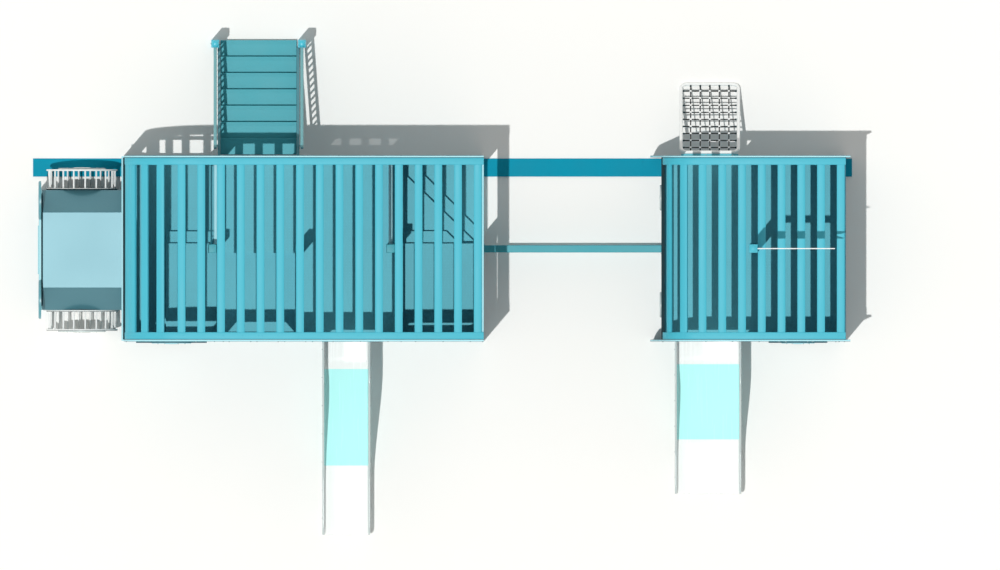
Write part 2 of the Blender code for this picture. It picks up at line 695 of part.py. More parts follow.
# Stair
def nosing(y):
    """Height of the line through the front edges of the treads."""
    return RISE * (1 + (STAIR_FOOT - y) / GOING)


def stair():
    """Two sloping stringers, which end at the newels, with seven separate treads between them."""
    head_y = WALL_BACK + GAP
    foot_y = NEWEL_Y - NEWEL / 2 - GAP
    toe_y = STAIR_FOOT - GOING * (STRINGER_UNDER / RISE - 1)
    outline = [(foot_y, 0.0), (foot_y, nosing(foot_y) + STRINGER_OVER),
               (head_y, nosing(head_y) + STRINGER_OVER), (head_y, nosing(head_y) - STRINGER_UNDER),
               (toe_y, 0.0)]
    for side, way in (("left", -1), ("right", 1)):
        middle = STAIR_X + way * (TREAD_HALF + GAP + STRINGER / 2)
        finish(plate("side", outline, [], middle, STRINGER), f"stair_stringer_{side}", TEAL)
    for index in range(TREADS):
        front_y = STAIR_FOOT - index * GOING
        top = RISE * (index + 1)
        tread = boxes([((STAIR_X - TREAD_HALF, front_y - GOING, top - TREAD_THICK),
                        (STAIR_X + TREAD_HALF, front_y, top))])
        finish(tread, f"stair_tread_{index + 1}", TEAL)


def balustrade(side, way):
    """A newel post with a handrail, a lower rail, balusters and an end post."""
    stringer_face = TREAD_HALF + GAP + STRINGER + GAP
    rail_x = STAIR_X + way * (stringer_face + HANDRAIL_OFF)
    half = NEWEL / 2
    newel = boxes([((rail_x - half, NEWEL_Y - half, 0.0), (rail_x + half, NEWEL_Y + half, NEWEL_HIGH))])

    def rail(over, radius, head_y):
        """A round rail parallel to the stair at a height over the nosings."""
        return tube([(rail_x, y, nosing(y) + over) for y in (NEWEL_Y, head_y)], radius)

    ends = []
    run = (NEWEL_Y - half - RAIL_HEAD_Y) / (BALUSTERS + 1)
    for index in range(BALUSTERS):
        y = RAIL_HEAD_Y + run * (index + 1)
        ends.append(((rail_x, y, nosing(y) + LOWER_RAIL_OVER), (rail_x, y, nosing(y) + HANDRAIL_OVER)))
    post_x = rail_x - way * END_POST_IN
    end_post = rods([((post_x, RAIL_HEAD_Y, nosing(RAIL_HEAD_Y) - END_POST_DROP),
                      (post_x, RAIL_HEAD_Y, nosing(RAIL_HEAD_Y) + HANDRAIL_OVER))], END_POST, 12)
    whole = fuse(newel, rail(HANDRAIL_OVER, HANDRAIL, RAIL_HEAD_Y - RAIL_OVERRUN),
                 rail(LOWER_RAIL_OVER, LOWER_RAIL, RAIL_HEAD_Y), rods(ends, BALUSTER, 8), end_post)
    finish(whole, f"stair_balustrade_{side}", TEAL, 40)


# Slides
def bed_line(slide, steps=5):
    """The (y, z) line of a slide's running surface: level, slope and run-out with eased bends."""
    start_y = WALL_FRONT - GAP
    crest_y = WALL_FRONT - slide["level"]
    foot_y = crest_y - slide["slope"]
    pitch = math.atan2(slide["top"] - SLIDE_LOW, slide["slope"])
    ease = SLIDE_BEND * math.tan(pitch / 2)
    line = [(start_y, slide["top"])]
    for step in range(steps + 1):
        angle = pitch * step / steps
        line.append((crest_y + ease - SLIDE_BEND * math.sin(angle),
                     slide["top"] - SLIDE_BEND * (1 - math.cos(angle))))
    for step in range(steps + 1):
        angle = pitch * (1 - step / steps)
        line.append((foot_y - ease + SLIDE_BEND * math.sin(angle),
                     SLIDE_LOW + SLIDE_BEND * (1 - math.cos(angle))))
    line.append((slide["end"] + SLIDE_TIP, SLIDE_LOW))
    line.append((slide["end"], SLIDE_LOW - SLIDE_TIP))
    return line


def side_top(slide, steps=10):
    """The (y, z) line of a slide side's top edge, from the wall to its rounded end."""
    start_y = WALL_FRONT - GAP
    drop_y = WALL_FRONT - slide["level"] - SIDE_LEVEL
    low_y = WALL_FRONT - slide["level"] - slide["slope"] - SIDE_RUN_OUT
    line = [(start_y, slide["side"])]
    for step in range(steps + 1):
        part = step / steps
        ease = part * part * (3 - 2 * part)
        fall = (slide["side"] - SLIDE_LIP_TOP) * ease
        line.append((drop_y + (low_y - drop_y) * part, slide["side"] - fall))
    for step in range(5):
        angle = math.pi / 2 * step / 4
        line.append((slide["end"] + SIDE_END_ROUND * (1 - math.sin(angle)),
                     SLIDE_LIP_TOP - SIDE_END_ROUND * (1 - math.cos(angle))))
    return line


def slide(name, sizes):
    """A slide's bed, its two sides and its foot frame."""
    line = bed_line(sizes)
    under = [(y, z - SLIDE_THICK) for y, z in line]
    bed = plate("side", [*line, *reversed(under)], [], sizes["x"], 2 * sizes["half"])
    finish(bed, f"{name}_bed", CYAN, 30)
    skirt = [(y, z - SLIDE_THICK - SLIDE_SKIRT) for y, z in line]
    side = [*side_top(sizes), *reversed(skirt)]
    for place, way in (("left", -1), ("right", 1)):
        middle = sizes["x"] + way * (sizes["half"] + GAP + SLIDE_SIDE / 2)
        finish(plate("side", side, [], middle, SLIDE_SIDE), f"{name}_side_{place}", GREY)
    high = SLIDE_LOW - SLIDE_THICK - GAP - FOOT_TUBE
    reach = sizes["half"] - FOOT_IN
    y = sizes["end"] + FOOT_BACK
    arch = [(sizes["x"] - reach, y, 0.0)]
    for step in range(5):
        angle = math.pi / 2 * step / 4
        arch.append((sizes["x"] - reach + FOOT_BEND * (1 - math.cos(angle)), y,
                     high - FOOT_BEND * (1 - math.sin(angle))))
    arch += [(2 * sizes["x"] - px, py, pz) for px, py, pz in reversed(arch)]
    finish(tube(arch, FOOT_TUBE), f"{name}_foot", TEAL, 40)


def guard_bar(name, sizes):
    """A round bar across a slide's doorway."""
    reach = sizes["half"] + SLIDE_SIDE - GAP
    z = sizes["top"] + GUARD_OVER
    y = WALL_FRONT + PANEL / 2
    finish(tube([(sizes["x"] - reach, y, z), (sizes["x"] + reach, y, z)], GUARD_BAR), name, TEAL, 40)


# Right tower
def right_outline():
    """Side outline of the right tower's walls, with a bulging front and a visor at the back."""
    bulge = []
    mid_z = RIGHT_BULGE_TOP
    for step in range(7):
        part = step / 6
        swell = (RIGHT_BULGE_X - RIGHT_FOOT_X) * math.sin(part * math.pi / 2)
        bulge.append((RIGHT_FOOT_X + swell, mid_z * part))
    nose = nose_arc(RIGHT_X0 + RIGHT_NOSE_LONG, RIGHT_TOP, RIGHT_NOSE_LONG, RIGHT_NOSE_DROP)
    return [*bulge, *nose, (RIGHT_VISOR_X, RIGHT_TOP), (RIGHT_X1, RIGHT_TOP - RIGHT_VISOR_DROP),
            (RIGHT_X1, 0.0)]


def right_walls():
    """Front and back panels with the slide's and the net's doorways."""
    front = plate("front", right_outline(), [slide_door(SLIDE_TWO)], WALL_FRONT + PANEL / 2, PANEL)
    finish(front, "right_front_wall", TEAL)
    low = DECK_RIGHT - BOARD - GAP
    net_door = rectangle(NET_X - NET_HALF, NET_X + NET_HALF, low, DECK_RIGHT + NET_DOOR_HIGH)
    back = plate("front", right_outline(), [net_door], WALL_BACK - PANEL / 2, PANEL)
    finish(back, "right_back_wall", TEAL)


def right_ends():
    """The dash panel with its windscreen and two small lamps, and the closed right end."""
    under_roof = RIGHT_TOP - ROOF_SET_DOWN - ROOF_THICK - GAP
    for name, x, top, holes in (("right_dash_panel", RIGHT_X0, RIGHT_DASH_TOP, [rectangle(*RIGHT_SCREEN)]),
                                ("right_end_panel", RIGHT_X1 - PANEL, under_roof, [])):
        outline = [(IN_FRONT, 0.0), (BESIDE_BASE, 0.0), (BESIDE_BASE, OVER_BASE), (IN_BACK, OVER_BASE),
                   (IN_BACK, top), (IN_FRONT, top)]
        finish(plate("side", outline, holes, x + PANEL / 2, PANEL), name, TEAL)
    for side, y in zip(("front", "back"), RIGHT_LAMP_Y):
        outline = circle(y, RIGHT_LAMP_Z, RIGHT_LAMP_RADIUS, 28)
        lamp = plate("side", outline, [], RIGHT_X0 - GAP - LAMP_THICK / 2, LAMP_THICK)
        finish(lamp, f"right_lamp_{side}", PALE_TEAL, 40)


def right_deck():
    """The right tower's deck, with a lip through the net's doorway and a hole for the mast."""
    x0 = RIGHT_X0 + PANEL + GAP
    x1 = RIGHT_X1 - PANEL - GAP
    lip = NET_HALF - GAP
    lip_y = NET_HEAD_Y - NET_TUBE - GAP
    outline = [(x0, IN_FRONT), (x1, IN_FRONT), (x1, IN_BACK), (NET_X + lip, IN_BACK), (NET_X + lip, lip_y),
               (NET_X - lip, lip_y), (NET_X - lip, IN_BACK), (x0, IN_BACK)]
    reach = POST / 2 + GAP
    hole = rectangle(MAST_X - reach, MAST_X + reach, POST_Y - reach, POST_Y + reach)
    finish(plate("top", outline, [hole], DECK_RIGHT - BOARD / 2, BOARD), "right_deck", TEAL)


def mast_and_flag():
    """A square mast through the roof with a stiff swallowtail flag on its side."""
    half = POST / 2
    mast = boxes([((MAST_X - half, POST_Y - half, 0.0), (MAST_X + half, POST_Y + half, MAST_TOP))])
    finish(mast, "mast", TEAL)
    x0 = MAST_X + half + GAP
    low, high = FLAG_Z
    flag = [(x0, low), (FLAG_X1, low), (FLAG_X1 - FLAG_NOTCH, (low + high) / 2), (FLAG_X1, high), (x0, high)]
    finish(plate("front", flag, [], POST_Y, FLAG_THICK), "flag", TEAL)


# Net climber
def net_climber():
    """A tilted tube frame with a net of ropes held taut inside it."""
    foot = Vector((NET_X, NET_FOOT_Y, NET_TUBE))
    head = Vector((NET_X, NET_HEAD_Y, NET_HEAD_Z))
    up = (head - foot).normalized()
    across = Vector((1, 0, 0))
    length = (head - foot).length

    def spot(side, rise):
        """A point in the frame's plane."""
        return foot + across * side + up * rise

    ring = rectangle(-NET_HALF, NET_HALF, 0.0, length, NET_CORNER)
    finish(tube([spot(*point) for point in ring], NET_TUBE, closed=True), "net_frame", WHITE, 40)
    reach = NET_TUBE + 0.001
    pitch = 2 * NET_HALF / (ROPES_UP + 1)
    rungs = length / (ROPES_ACROSS + 0.65)
    sides = [-NET_HALF + pitch * (i + 1) for i in range(ROPES_UP)]
    long_ropes = [(spot(side, reach), spot(side, length - reach)) for side in sides]
    cross_ropes = [(spot(-NET_HALF + reach, rungs * (i + 1)), spot(NET_HALF - reach, rungs * (i + 1)))
                   for i in range(ROPES_ACROSS)]
    net = fuse(rods(long_ropes, ROPE, 6), rods(cross_ropes, ROPE * 0.96, 6))
    finish(net, "rope_net", GREY, 40)


# Beam and base
def beam_and_base():
    """The balance beam between the towers and the long board under both."""
    beam = boxes([((LEFT_X1 + GAP, BEAM_Y[0], BEAM_Z[0]), (RIGHT_X0 - GAP, BEAM_Y[1], BEAM_Z[1]))])
    finish(beam, "balance_beam", TEAL)
    base = boxes([((-BASE_X, BASE_Y[0], 0.0), (BASE_X, BASE_Y[1], BASE_THICK))])
    finish(base, "base_board", TEAL_DARK)


def build():
    """Make every piece."""
    left_walls()
    left_ends()
    left_decks()
    corner_steps()
    winding_steps()
    left_posts()
    flat_roof("left_roof_slats", LEFT_X0 + LEFT_NOSE_LONG + GAP, LEFT_X1, LEFT_FIRST_SLAT,
              LEFT_FLAT_SLATS, LEFT_TOP)
    nose_roof("left_nose_slats", LEFT_X0 + LEFT_NOSE_LONG, LEFT_TOP, LEFT_NOSE_LONG, LEFT_NOSE_DROP,
              LEFT_NOSE_SLATS)
    face_disc("left_wheel_disc", *LEFT_DISC)
    hood()
    hood_wheel("hood_wheel_front", HOOD_Y[0], -1)
    hood_wheel("hood_wheel_back", HOOD_Y[1], 1)
    stair()
    balustrade("left", -1)
    balustrade("right", 1)
    slide("slide_1", SLIDE_ONE)
    slide("slide_2", SLIDE_TWO)
    guard_bar("slide_1_guard_bar", SLIDE_ONE)
    right_walls()
    right_ends()
    right_deck()
    flat_roof("right_roof_slats", RIGHT_X0 + RIGHT_NOSE_LONG + GAP, RIGHT_X1, RIGHT_FIRST_SLAT,
              RIGHT_FLAT_SLATS, RIGHT_TOP)
    nose_roof("right_nose_slats", RIGHT_X0 + RIGHT_NOSE_LONG, RIGHT_TOP, RIGHT_NOSE_LONG,
              RIGHT_NOSE_DROP, RIGHT_NOSE_SLATS)
    face_disc("right_wheel_disc", *RIGHT_DISC)
    mast_and_flag()
    net_climber()
    beam_and_base()


clear_scene()
PARTS = parts_collection()
build()
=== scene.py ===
"""Dresses the playground slide unit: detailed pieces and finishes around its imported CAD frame."""
import math

import bmesh
import bpy
import numpy as np
from mathutils import Matrix, Vector


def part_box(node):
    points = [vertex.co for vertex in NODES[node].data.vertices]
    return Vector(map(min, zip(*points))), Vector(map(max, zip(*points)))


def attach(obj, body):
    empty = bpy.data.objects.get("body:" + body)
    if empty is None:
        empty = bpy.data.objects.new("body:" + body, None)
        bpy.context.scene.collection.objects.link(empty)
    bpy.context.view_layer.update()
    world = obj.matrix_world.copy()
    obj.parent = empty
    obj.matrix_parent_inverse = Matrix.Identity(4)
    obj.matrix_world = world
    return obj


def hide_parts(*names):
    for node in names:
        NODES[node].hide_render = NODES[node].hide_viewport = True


bl_info = {
    "name": "Playground Slide Unit",
    "version": (1, 0, 0),
    "blender": (4, 5, 0),
    "location": "3D View > Sidebar > Slide Unit",
    "description": "Builds the panels, roofs, decks, stair, slides, net and stage of a playground unit",
    "category": "Object",
}

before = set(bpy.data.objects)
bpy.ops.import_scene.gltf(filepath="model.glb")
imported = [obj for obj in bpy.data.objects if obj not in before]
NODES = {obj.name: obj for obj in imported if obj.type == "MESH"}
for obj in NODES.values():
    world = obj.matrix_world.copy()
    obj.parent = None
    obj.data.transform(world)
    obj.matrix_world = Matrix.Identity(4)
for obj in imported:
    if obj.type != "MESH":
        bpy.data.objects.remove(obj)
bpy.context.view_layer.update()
BODY = "root"
UP = (0, 0, 1)

# Sizes that the frame was built to, in metres
GAP = 0.0003
WALL_FRONT = -0.81
WALL_BACK = 1.98
DECK_MAIN = 1.15
DECK_RIGHT = 1.00

# Openings in the left walls as x, x, z, z and corner radius; the last at the back is the deck window
LEFT_OPENINGS = {
    "front": [(-4.5375, -3.6075, 2.03, 2.83, 0.08), (-0.7275, 0.2475, 2.49, 2.94, 0.06)],
    "back": [(-4.5825, -3.5175, 0.29, 1.97, 0.20), (-4.5375, -3.6075, 2.20, 2.83, 0.08),
             (-1.8375, -0.8775, 1.18, 2.13, 0.06)],
}
LINE_PROUD = 0.0012
LINE_OUT = 0.045
RIM_INSET = 0.06
RIM_FOOT = 0.08

# Rows of cap nuts on the walls, each from one (x, z) end to the other
LEFT_POST_NUTS = [((-4.745, 0.16), (-4.745, 1.28)), ((0.600, 0.16), (0.600, 3.28))]
LEFT_ROOF_NUTS = ((-3.70, 3.408), (0.42, 3.408))
RIGHT_NUTS = [((3.305, 0.16), (3.305, 1.14)), ((6.03, 0.16), (6.03, 2.28)), ((4.62, 0.975), (5.90, 0.975)),
              ((3.95, 2.758), (5.95, 2.758))]
WALL_NUTS = {
    "left_front": [*LEFT_POST_NUTS, ((-3.42, 0.2), (-3.42, 1.62)), ((-3.2, 1.12), (-1.95, 1.12)),
                   ((-0.95, 1.12), (-0.62, 1.12)), LEFT_ROOF_NUTS],
    "left_back": [*LEFT_POST_NUTS, ((-3.45, 0.2), (-3.45, 1.90)), ((-2.02, 1.12), (-0.62, 1.12)),
                  LEFT_ROOF_NUTS],
    "right_front": RIGHT_NUTS,
    "right_back": RIGHT_NUTS,
}

# Roofs. Each nose as centre x, top z, length and drop, then its first flat slat, how many lie flat, and
# how far down the bend the others lie
RAIL_WIDE = 0.11
RAIL_LAP = 0.03
RAIL_EASE = 0.012
ROOF_THICK = 0.06
ROOF_SET_DOWN = 0.012
SLAT_SHY = 0.006
SLAT_LAP = 0.012
SLAT_NUTS = 0.03
LEFT_NOSE = {"x": -3.82, "top": 3.45, "long": 0.96, "drop": 0.69, "first": -3.619, "flat": 15,
             "bent": (0.0953, 0.425, 0.70, 0.957, 1.081, 1.205)}
RIGHT_NOSE = {"x": 3.835, "top": 2.80, "long": 0.545, "drop": 0.60, "first": 3.90, "flat": 8,
              "bent": (0.236, 0.572)}

# Joists under each deck: the deck's height, then each joist's x and its two ends along Y
DECK_THICK = 0.05
JOIST_HALF = 0.02
JOIST_HIGH = 0.06
JOISTS = {
    "main": (DECK_MAIN, [(-3.1, 0.62, 1.94), (-2.45, 0.62, 1.94), (-1.95, -0.77, 1.94), (-1.45, -0.77, 1.94),
                         (-1.05, -0.77, 1.94)]),
    "right": (DECK_RIGHT, [(3.62, -0.77, 1.94), (4.28, -0.77, 1.94), (5.05, -0.77, 1.94),
                           (5.70, -0.77, 1.94)]),
}

# Hood and its wheels
SEAL_ENDS = (-0.0075, 1.1325)
RIVET = 0.009
LENS_RIB = 0.024
WHEEL_X = -5.4075
WHEEL_Z = 0.5553
WHEEL_RADIUS = 0.535
WHEEL_REACH = 0.31
WHEEL_FACE = 0.025
WHEEL_BARS = 18
WHEEL_BAR_RING = 0.495
WHEEL_BAR = 0.013
WHEEL_TURN = math.radians(4.4)

# Stair
STAIR_X = -2.759
STRINGER_FACE = 0.6126
RAIL_X = STRINGER_FACE + 0.038
GOING = 0.2454
TREADS = 7
RISE = DECK_MAIN / (TREADS + 1)
STAIR_FOOT = WALL_BACK + 0.012 + TREADS * GOING
NEWEL_Y = 3.656
NEWEL_HALF = 0.06
NEWEL_HIGH = 1.43
NEWEL_CAP = 0.05
HANDRAIL_OVER = 1.17
LOWER_RAIL_OVER = 0.27
RAIL_HEAD_Y = 2.13
BALUSTERS = 13

# Slides
SLIDE_LOW = 0.33
SLIDE_LIP = 0.12
SLIDE_LIP_TOP = 0.545
SLIDE_BEND = 0.45
BED_THICK = 0.03
BED_FILLET = 0.035
SIDE_HALF = 0.015
SLIDES = {
    "slide_1": {"x": -1.443, "half": 0.33, "top": 1.15, "level": 0.3435, "slope": 1.50, "end": -3.7125,
                "side": 1.68, "white": (-1.2225, -2.6700)},
    "slide_2": {"x": 3.984, "half": 0.468, "top": 1.00, "level": 0.3405, "slope": 1.128, "end": -3.0975,
                "side": 1.33, "white": (-1.1505, -2.2790)},
}

# Net
NET_X = 4.009
NET_HALF = 0.43
NET_TUBE = 0.025
NET_FOOT = Vector((NET_X, 3.05, NET_TUBE))
NET_HEAD = Vector((NET_X, 2.03, 0.975))
ROPES_UP = 5
ROPES_ACROSS = 9


def linear(code):
    """Turn an sRGB hex colour into linear red, green, blue and alpha."""
    shares = [int(code[i:i + 2], 16) / 255 for i in (1, 3, 5)]
    return (*[s / 12.92 if s <= 0.04045 else ((s + 0.055) / 1.055) ** 2.4 for s in shares], 1.0)


def shade(colour, share):
    """The same colour, lighter or darker by a share."""
    return (*[min(1.0, c * share) for c in colour[:3]], 1.0)


# Settings
def length(name, words, size):
    """A setting for a length, with its name, description and default in metres."""
    return bpy.props.FloatProperty(name=name, description=words, default=size, unit="LENGTH")


def tint(name, words, code):
    """A setting for a colour, with its name, description and default as an sRGB hex colour."""
    return bpy.props.FloatVectorProperty(name=name, description=words, default=linear(code), size=4,
                                         subtype="COLOR")


class SlideUnitSizes(bpy.types.PropertyGroup):
    """Sizes that a user would change."""
    slat_wide: length("Slat width", "Width of a roof slat", 0.118)
    slat_pitch: length("Slat pitch", "Distance from slat to slat", 0.2963)
    slat_crown: length("Slat crown", "How far a slat's top bulges", 0.008)
    sheet_edge: length("Panel edge", "Rounding of the panels' edges", 0.005)
    nut: length("Cap nut", "Radius of a cap nut", 0.014)
    nut_pitch: length("Nut pitch", "Usual distance between cap nuts", 0.42)
    groove: length("Groove width", "Width of the lines routed in the panels", 0.012)
    rope: length("Rope radius", "Radius of a net rope", 0.009)
    rope_cross: length("Rope cross", "Half width of a cross connector", 0.0165)
    frame_wide: length("Picture width", "Width that the camera shows", 15.0)


class SlideUnitColours(bpy.types.PropertyGroup):
    """Colours that a user would change."""
    panel: tint("Panels", "Polyethylene panels", "#196F82")
    core: tint("Panel core", "Core that the routed lines show", "#A6DDE7")
    slat: tint("Slats", "Powder coat of the roofs", "#43B4C9")
    steel: tint("Steelwork", "Powder coat of posts and stair", "#3FA3B0")
    deck: tint("Decks", "Dipped coating of the decks", "#5CB6C6")
    hood: tint("Hood", "Pearl coat of the hood", "#50838F")
    white: tint("White steel", "White powder coat", "#EDF0EF")
    base: tint("Base board", "Compact laminate of the base", "#0390AC")
    chute: tint("Chute", "Gelcoat of the sloping part of a slide", "#BAFFFC")
    rope: tint("Rope", "Braided cover of the ropes", "#15191A")


def sizes():
    """The size settings of this scene."""
    return bpy.context.scene.slide_unit_sizes


def colours():
    """The colour settings of this scene."""
    return bpy.context.scene.slide_unit_colours


# Materials
def fill(tree, node, inputs):
    """Fill or link a node's inputs by name or place."""
    for key, value in inputs.items():
        if isinstance(value, bpy.types.NodeSocket):
            tree.links.new(value, node.inputs[key])
        else:
            node.inputs[key].default_value = value


def add(tree, kind, inputs, **settings):
    """Add a shader node with its settings, and fill or link its inputs."""
    node = tree.nodes.new(kind)
    for key, value in settings.items():
        setattr(node, key, value)
    fill(tree, node, inputs)
    return node


def feed(tree, **inputs):
    """Fill or link the inputs of a material's own shader."""
    fill(tree, tree.nodes["Principled BSDF"], {key.replace("_", " "): value for key, value in inputs.items()})


def surface(name, colour, **values):
    """A new material with its shader set; gives it, its tree and the object's own coordinates."""
    material = bpy.data.materials.new(name)
    material.use_nodes = True
    material.diffuse_color = colour
    tree = material.node_tree
    feed(tree, Base_Color=colour, **values)
    return material, tree, add(tree, "ShaderNodeTexCoord", {}).outputs["Object"]


def mottled(name, colour, size, spread, rough, grain, depth, **values):
    """A finish with soft blotches in colour and gloss, and a fine grain in its surface.

    size is that of a blotch and grain that of a grain, in metres; spread is how far the colour
    strays; rough is the lowest and highest roughness; depth is the height of the grain.
    """
    material, tree, place = surface(name, colour, **values)
    blotch = add(tree, "ShaderNodeTexNoise",
                 {"Vector": place, "Scale": 1 / size, "Detail": 5.0}).outputs["Fac"]
    tone = add(tree, "ShaderNodeMix", {0: blotch, 6: shade(colour, 1 - spread), 7: shade(colour, 1 + spread)},
               data_type="RGBA")
    gloss = add(tree, "ShaderNodeMapRange", {"Value": blotch, "From Min": 0.3, "From Max": 0.7,
                                             "To Min": rough[0], "To Max": rough[1]})
    peel = add(tree, "ShaderNodeTexNoise", {"Vector": place, "Scale": 1 / grain, "Detail": 2.0})
    bump = add(tree, "ShaderNodeBump", {"Height": peel.outputs["Fac"], "Distance": depth, "Strength": 0.5})
    feed(tree, Base_Color=tone.outputs[2], Roughness=gloss.outputs["Result"], Normal=bump.outputs["Normal"])
    return material


def polyethylene_sheet(name, colour):
    """Polyethylene sheet, extruded and embossed: an even satin with a grain of 2 mm, drawn at 6 mm."""
    return mottled(name, colour, 0.9, 0.06, (0.5, 0.62), 0.006, 0.0006, IOR=1.45)


def powder_coat(name, colour):
    """Steel, sprayed with powder and baked: a smooth gloss with an orange peel of 3 mm, drawn at 5 mm."""
    return mottled(name, colour, 0.7, 0.04, (0.5, 0.6), 0.005, 0.0003, IOR=1.45)


def pearl_coat(name, colour):
    """Sheet steel under a baked pearl lacquer: metal flake below a clear coat, bright where it faces up."""
    return mottled(name, colour, 1.4, 0.03, (0.3, 0.36), 0.004, 0.0001, Metallic=0.2, IOR=1.55)


def compact_laminate(name, colour):
    """Compact laminate, pressed from resin and paper: dense, deep in colour, with a hard low sheen."""
    return mottled(name, colour, 0.5, 0.08, (0.8, 0.95), 0.004, 0.0002, IOR=1.3)


def moulded_nylon(name, colour):
    """Nylon, moulded in steel tools: small, smooth and slightly waxy."""
    return mottled(name, colour, 0.08, 0.03, (0.3, 0.4), 0.003, 0.0002, IOR=1.53)


def stainless_steel(name, colour):
    """Stainless steel, cold formed and polished: grey mirror gloss on nuts and washers."""
    return mottled(name, colour, 0.05, 0.05, (0.18, 0.3), 0.002, 0.0001, Metallic=1.0)


def rubber_profile(name, colour):
    """EPDM rubber, extruded: near black with a teal cast, and dull, so that it barely catches the light; also
    painted shade on strips and plates.
    """
    return mottled(name, colour, 0.2, 0.1, (0.75, 0.85), 0.003, 0.0003, IOR=1.4)


def smoked_pane(name, colour):
    """Polycarbonate sheet, extruded and lightly frosted: it lets through about half of the light."""
    return mottled(name, colour, 0.3, 0.05, (0.2, 0.3), 0.004, 0.0001, IOR=1.58, Alpha=0.6)


def dipped_deck(name, colour):
    """Steel plate with pressed studs, dipped in vinyl: 8 mm studs every 45 mm give a soft dotted grip."""
    material, tree, place = surface(name, colour, Roughness=0.65, IOR=1.45)
    stud = add(tree, "ShaderNodeTexVoronoi", {"Vector": place, "Scale": 1 / 0.045, "Randomness": 0.0},
               voronoi_dimensions="2D")
    top = add(tree, "ShaderNodeMapRange", {"Value": stud.outputs["Distance"], "From Min": 0.16,
                                           "From Max": 0.26, "To Min": 1.0, "To Max": 0.0}).outputs["Result"]
    scuff = add(tree, "ShaderNodeTexNoise", {"Vector": place, "Scale": 1 / 0.5, "Detail": 6.0}).outputs["Fac"]
    worn = add(tree, "ShaderNodeMix", {0: scuff, 6: shade(colour, 0.93), 7: shade(colour, 1.07)},
               data_type="RGBA")
    dotted = add(tree, "ShaderNodeMix", {0: top, 6: worn.outputs[2], 7: shade(colour, 1.04)},
                 data_type="RGBA")
    bump = add(tree, "ShaderNodeBump", {"Height": top, "Distance": 0.0015, "Strength": 0.7})
    feed(tree, Base_Color=dotted.outputs[2], Normal=bump.outputs["Normal"])
    return material


def gelcoat(name, colour):
    """Glass-fibre gelcoat, laid in a polished mould: high gloss, with faint wear down the slide's run."""
    material, tree, place = surface(name, colour, IOR=1.52, Coat_Weight=0.4, Coat_Roughness=0.08)
    along = add(tree, "ShaderNodeMapping", {"Vector": place, "Scale": (26.0, 0.8, 2.0)}).outputs["Vector"]
    streak = add(tree, "ShaderNodeTexNoise", {"Vector": along, "Scale": 1.0, "Detail": 4.0}).outputs["Fac"]
    tone = add(tree, "ShaderNodeMix", {0: streak, 6: shade(colour, 0.96), 7: shade(colour, 1.03)},
               data_type="RGBA")
    gloss = add(tree, "ShaderNodeMapRange", {"Value": streak, "From Min": 0.35, "From Max": 0.65,
                                             "To Min": 0.16, "To Max": 0.3})
    feed(tree, Base_Color=tone.outputs[2], Roughness=gloss.outputs["Result"])
    return material


def braided_rope(name, colour):
    """Polyester braided over steel strands: strands of 4 mm cross in a dull close weave, drawn at 7 mm."""
    material, tree, place = surface(name, colour, Roughness=0.78, IOR=1.5)
    turned = add(tree, "ShaderNodeMapping", {"Vector": place, "Scale": (-1.0, 1.0, 1.0)}).outputs["Vector"]
    one, two = [add(tree, "ShaderNodeTexWave", {"Vector": way, "Scale": 22.0}, bands_direction="DIAGONAL")
                for way in (place, turned)]
    weave = add(tree, "ShaderNodeMath", {0: one.outputs["Fac"], 1: two.outputs["Fac"]},
                operation="MULTIPLY").outputs["Value"]
    # The weave darkens the grooves between strands and lightens their crowns: painted shade and painted sheen
    tone = add(tree, "ShaderNodeMix", {0: weave, 6: shade(colour, 0.6), 7: shade(colour, 2.0)},
               data_type="RGBA")
    bump = add(tree, "ShaderNodeBump", {"Height": weave, "Distance": 0.001, "Strength": 0.8})
    feed(tree, Base_Color=tone.outputs[2], Normal=bump.outputs["Normal"])
    return material


def lamp_lens(name, colour):
    """Polycarbonate lens, moulded with rings: glassy, with a ring every 24 mm that catches the light."""
    material, tree, place = surface(name, colour, Roughness=0.12, IOR=1.58, Coat_Weight=0.3)
    fine = add(tree, "ShaderNodeTexNoise", {"Vector": place, "Scale": 1 / 0.03, "Detail": 2.0}).outputs["Fac"]
    tone = add(tree, "ShaderNodeMix", {0: fine, 6: shade(colour, 0.88), 7: shade(colour, 1.08)},
               data_type="RGBA")
    feed(tree, Base_Color=tone.outputs[2])
    return material


